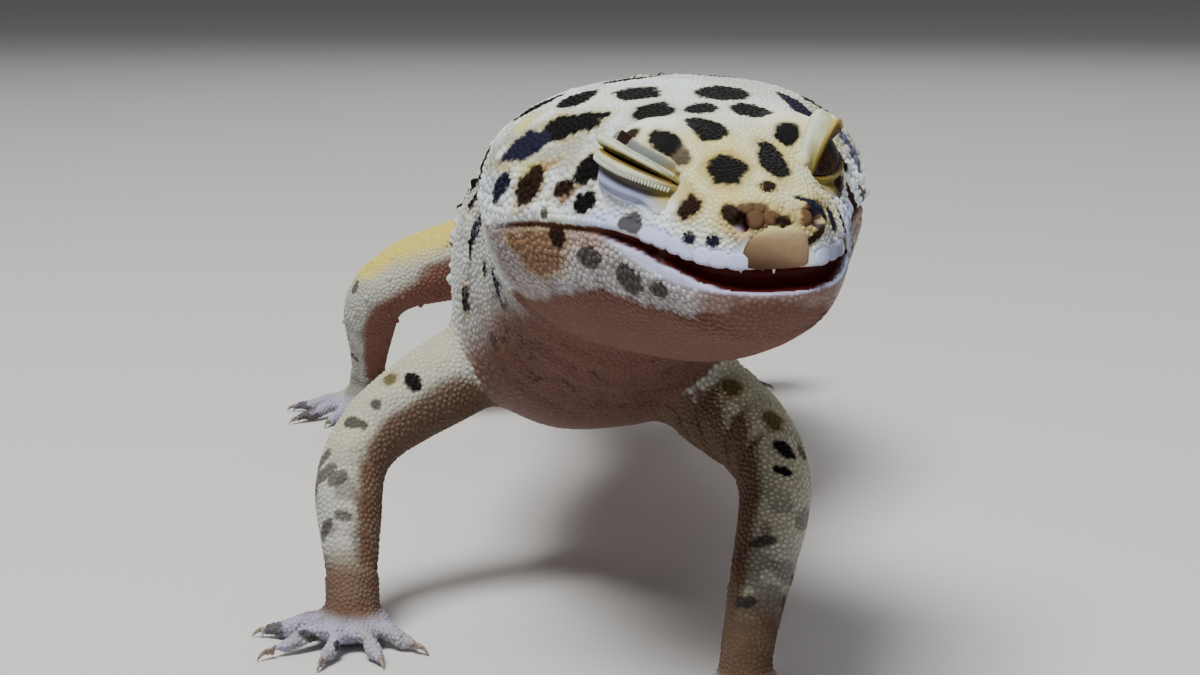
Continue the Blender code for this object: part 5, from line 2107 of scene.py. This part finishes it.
def skin_material():
    """Bare skin between and under the scales: fine grain, and gloss where it is wet or smooth."""
    nodes = Nodes("gecko_skin")
    mark = nodes.add("ShaderNodeAttribute", attribute_name="Mark")
    place = place_node(nodes)
    cells = {"Vector": place, "Scale": 1 / (0.34 * MM), "Randomness": 0.8}
    grain = nodes.add("ShaderNodeTexVoronoi", cells, feature="F1").outputs["Distance"]
    crease = clouds(nodes, place, 0.9, 4.0)
    fine = bumped(nodes, grain, 0.05, 0.35, invert=True)
    coarse = bumped(nodes, crease, 0.12, 0.4, over=fine)
    rough = mapped(nodes, mark.outputs["Alpha"], 0.0, 1.0, 0.7, 0.25)
    return nodes.finish(
        Base_Color=tinted(nodes, mark.outputs["Color"], 0.08, 1.4),
        Roughness=rough,
        Normal=coarse,
        Specular_IOR_Level=0.08,
    )


def scale_material():
    """Horny scales: satin, with a faint grain."""
    nodes = Nodes("gecko_scales")
    mark = nodes.add("ShaderNodeAttribute", attribute_name="Mark")
    grain = clouds(nodes, place_node(nodes), 0.16)
    relief = bumped(nodes, grain, 0.02, 0.35)
    rough = mapped(nodes, grain, 0.3, 0.7, 0.46, 0.6)
    return nodes.finish(
        Base_Color=tinted(nodes, mark.outputs["Color"], 0.07, 0.9),
        Roughness=rough,
        Normal=relief,
        Specular_IOR_Level=0.04,
    )


def eye_material():
    """A dark red-brown iris with fine veins, a slit pupil and a wet cornea."""
    nodes = Nodes("gecko_eye")
    iris = nodes.add("ShaderNodeAttribute", attribute_name="Iris").outputs["Vector"]
    split = nodes.add("ShaderNodeSeparateXYZ", {"Vector": iris})
    stretched = nodes.add("ShaderNodeMapping", {"Vector": iris, "Scale": (5.0, 5.0, 1.0)})
    pattern = {"Vector": stretched.outputs["Vector"], "Scale": 3.0, "Detail": 6.0}
    veins = nodes.add("ShaderNodeTexNoise", pattern).outputs["Fac"]
    across = nodes.add("ShaderNodeMath", {0: split.outputs["X"]}, operation="ABSOLUTE").outputs[0]
    ragged = nodes.add("ShaderNodeMath", {0: veins, 1: 0.08}, operation="MULTIPLY").outputs[0]
    slit = nodes.add("ShaderNodeMath", {0: across, 1: ragged}, operation="ADD").outputs[0]
    pupil = mapped(nodes, slit, 0.1, 0.16, 0.0, 1.0)
    colour = ramp(nodes, veins, IRIS_DARK, 0.38, IRIS_PALE, 0.68)
    parts = {"Factor": pupil, "A": (*PUPIL, 1.0), "B": colour}
    dark = nodes.add("ShaderNodeMix", parts, data_type="RGBA")
    return nodes.finish(
        Base_Color=dark.outputs["Result"],
        Roughness=0.2,
        Coat_Weight=0.35,
        Coat_Roughness=0.05,
        Specular_IOR_Level=0.25,
    )


def horn_material(name, dark, pale):
    """Claw or tooth: smooth horn, softly mottled in two colours."""
    nodes = Nodes(name)
    streak = clouds(nodes, place_node(nodes), 0.25)
    colour = ramp(nodes, streak, dark, 0.35, pale, 0.65)
    return nodes.finish(Base_Color=colour, Roughness=0.3)


# ---------------------------------------------------------------- skin, studio, camera


def finish_skin(skin, spots, material):
    """Colours the skin, with painted shade between the scales, and smooth where it is wet or bare."""
    points, normals = skin.points, skin.normals
    colours = marked(points, normals, skin.parts, spots)
    mouth, lip = in_mouth(points, normals), lower_lip(points)
    smooth = np.maximum(0.8 * mouth, 0.72 * lip)
    # Painted shade: skin that carries scales is darkened, for the shade in the gaps between them.
    shade = np.where(bare(points, normals), 1.0, 0.8)
    paint(skin.item.data, colours * shade[:, None], np.maximum(smooth, 0.15))
    skin.item.data.materials.clear()
    skin.item.data.materials.append(material)
    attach(skin.item, "root")
    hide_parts(*FLESH)


def make_floor():
    bpy.ops.mesh.primitive_plane_add(size=6.0, location=(0.0, 0.0, 0.0))
    floor = bpy.context.active_object
    floor.name = "floor"
    paper = Nodes("floor_paper").finish(Base_Color=(*FLOOR, 1.0), Roughness=0.8)
    floor.data.materials.append(paper)


def area_light(name, place, size, power, colour):
    lamp = bpy.data.lights.new(name, "AREA")
    lamp.size = size
    lamp.energy = power
    lamp.color = colour
    item = bpy.data.objects.new(name, lamp)
    bpy.context.scene.collection.objects.link(item)
    item.location = place
    item.rotation_euler = (-Vector(place)).to_track_quat("-Z", "Y").to_euler()


def make_studio():
    """A pale floor under one soft lamp high in front of the animal, with faint light all round."""
    make_floor()
    for lamp in LAMPS:
        area_light(*lamp)
    world = bpy.data.worlds.new("studio")
    bpy.context.scene.world = world
    world.use_nodes = True
    sky = world.node_tree.nodes["Background"]
    sky.inputs["Color"].default_value = (*SKY, 1.0)
    sky.inputs["Strength"].default_value = SKY_STRENGTH


def make_camera():
    """In front of the snout, a little above it, looking slightly down along the body."""
    data = bpy.data.cameras.new("camera")
    data.sensor_width = 36.0
    data.lens = CAMERA_LENS
    data.clip_start = 0.01
    data.clip_end = 20.0
    item = bpy.data.objects.new("camera", data)
    bpy.context.scene.collection.objects.link(item)
    item.location = (ORIGIN + CAMERA_AT) * MM
    item.rotation_euler = (math.radians(90 - CAMERA_DOWN), 0.0, 0.0)
    bpy.context.scene.camera = item


def main():
    make_camera()
    item, before = shaped_skin()
    skin = Skin(item)
    chance = np.random.default_rng(5)
    spots = given_spots(skin.surface)
    spots += body_spots(skin.surface, chance) + limb_spots(skin.surface, chance)
    bare_skin, scales = skin_material(), scale_material()
    finish_skin(skin, spots, bare_skin)
    lids = make_lids(before, spots, bare_skin)
    make_shield(skin, bare_skin)
    dress(skin, spots, lids, scales)
    make_eyes(eye_material())
    make_teeth(horn_material("gecko_teeth", TOOTH_DARK, TOOTH_PALE))
    make_claws(horn_material("gecko_claws", CLAW_DARK, CLAW_PALE))
    make_studio()


main()
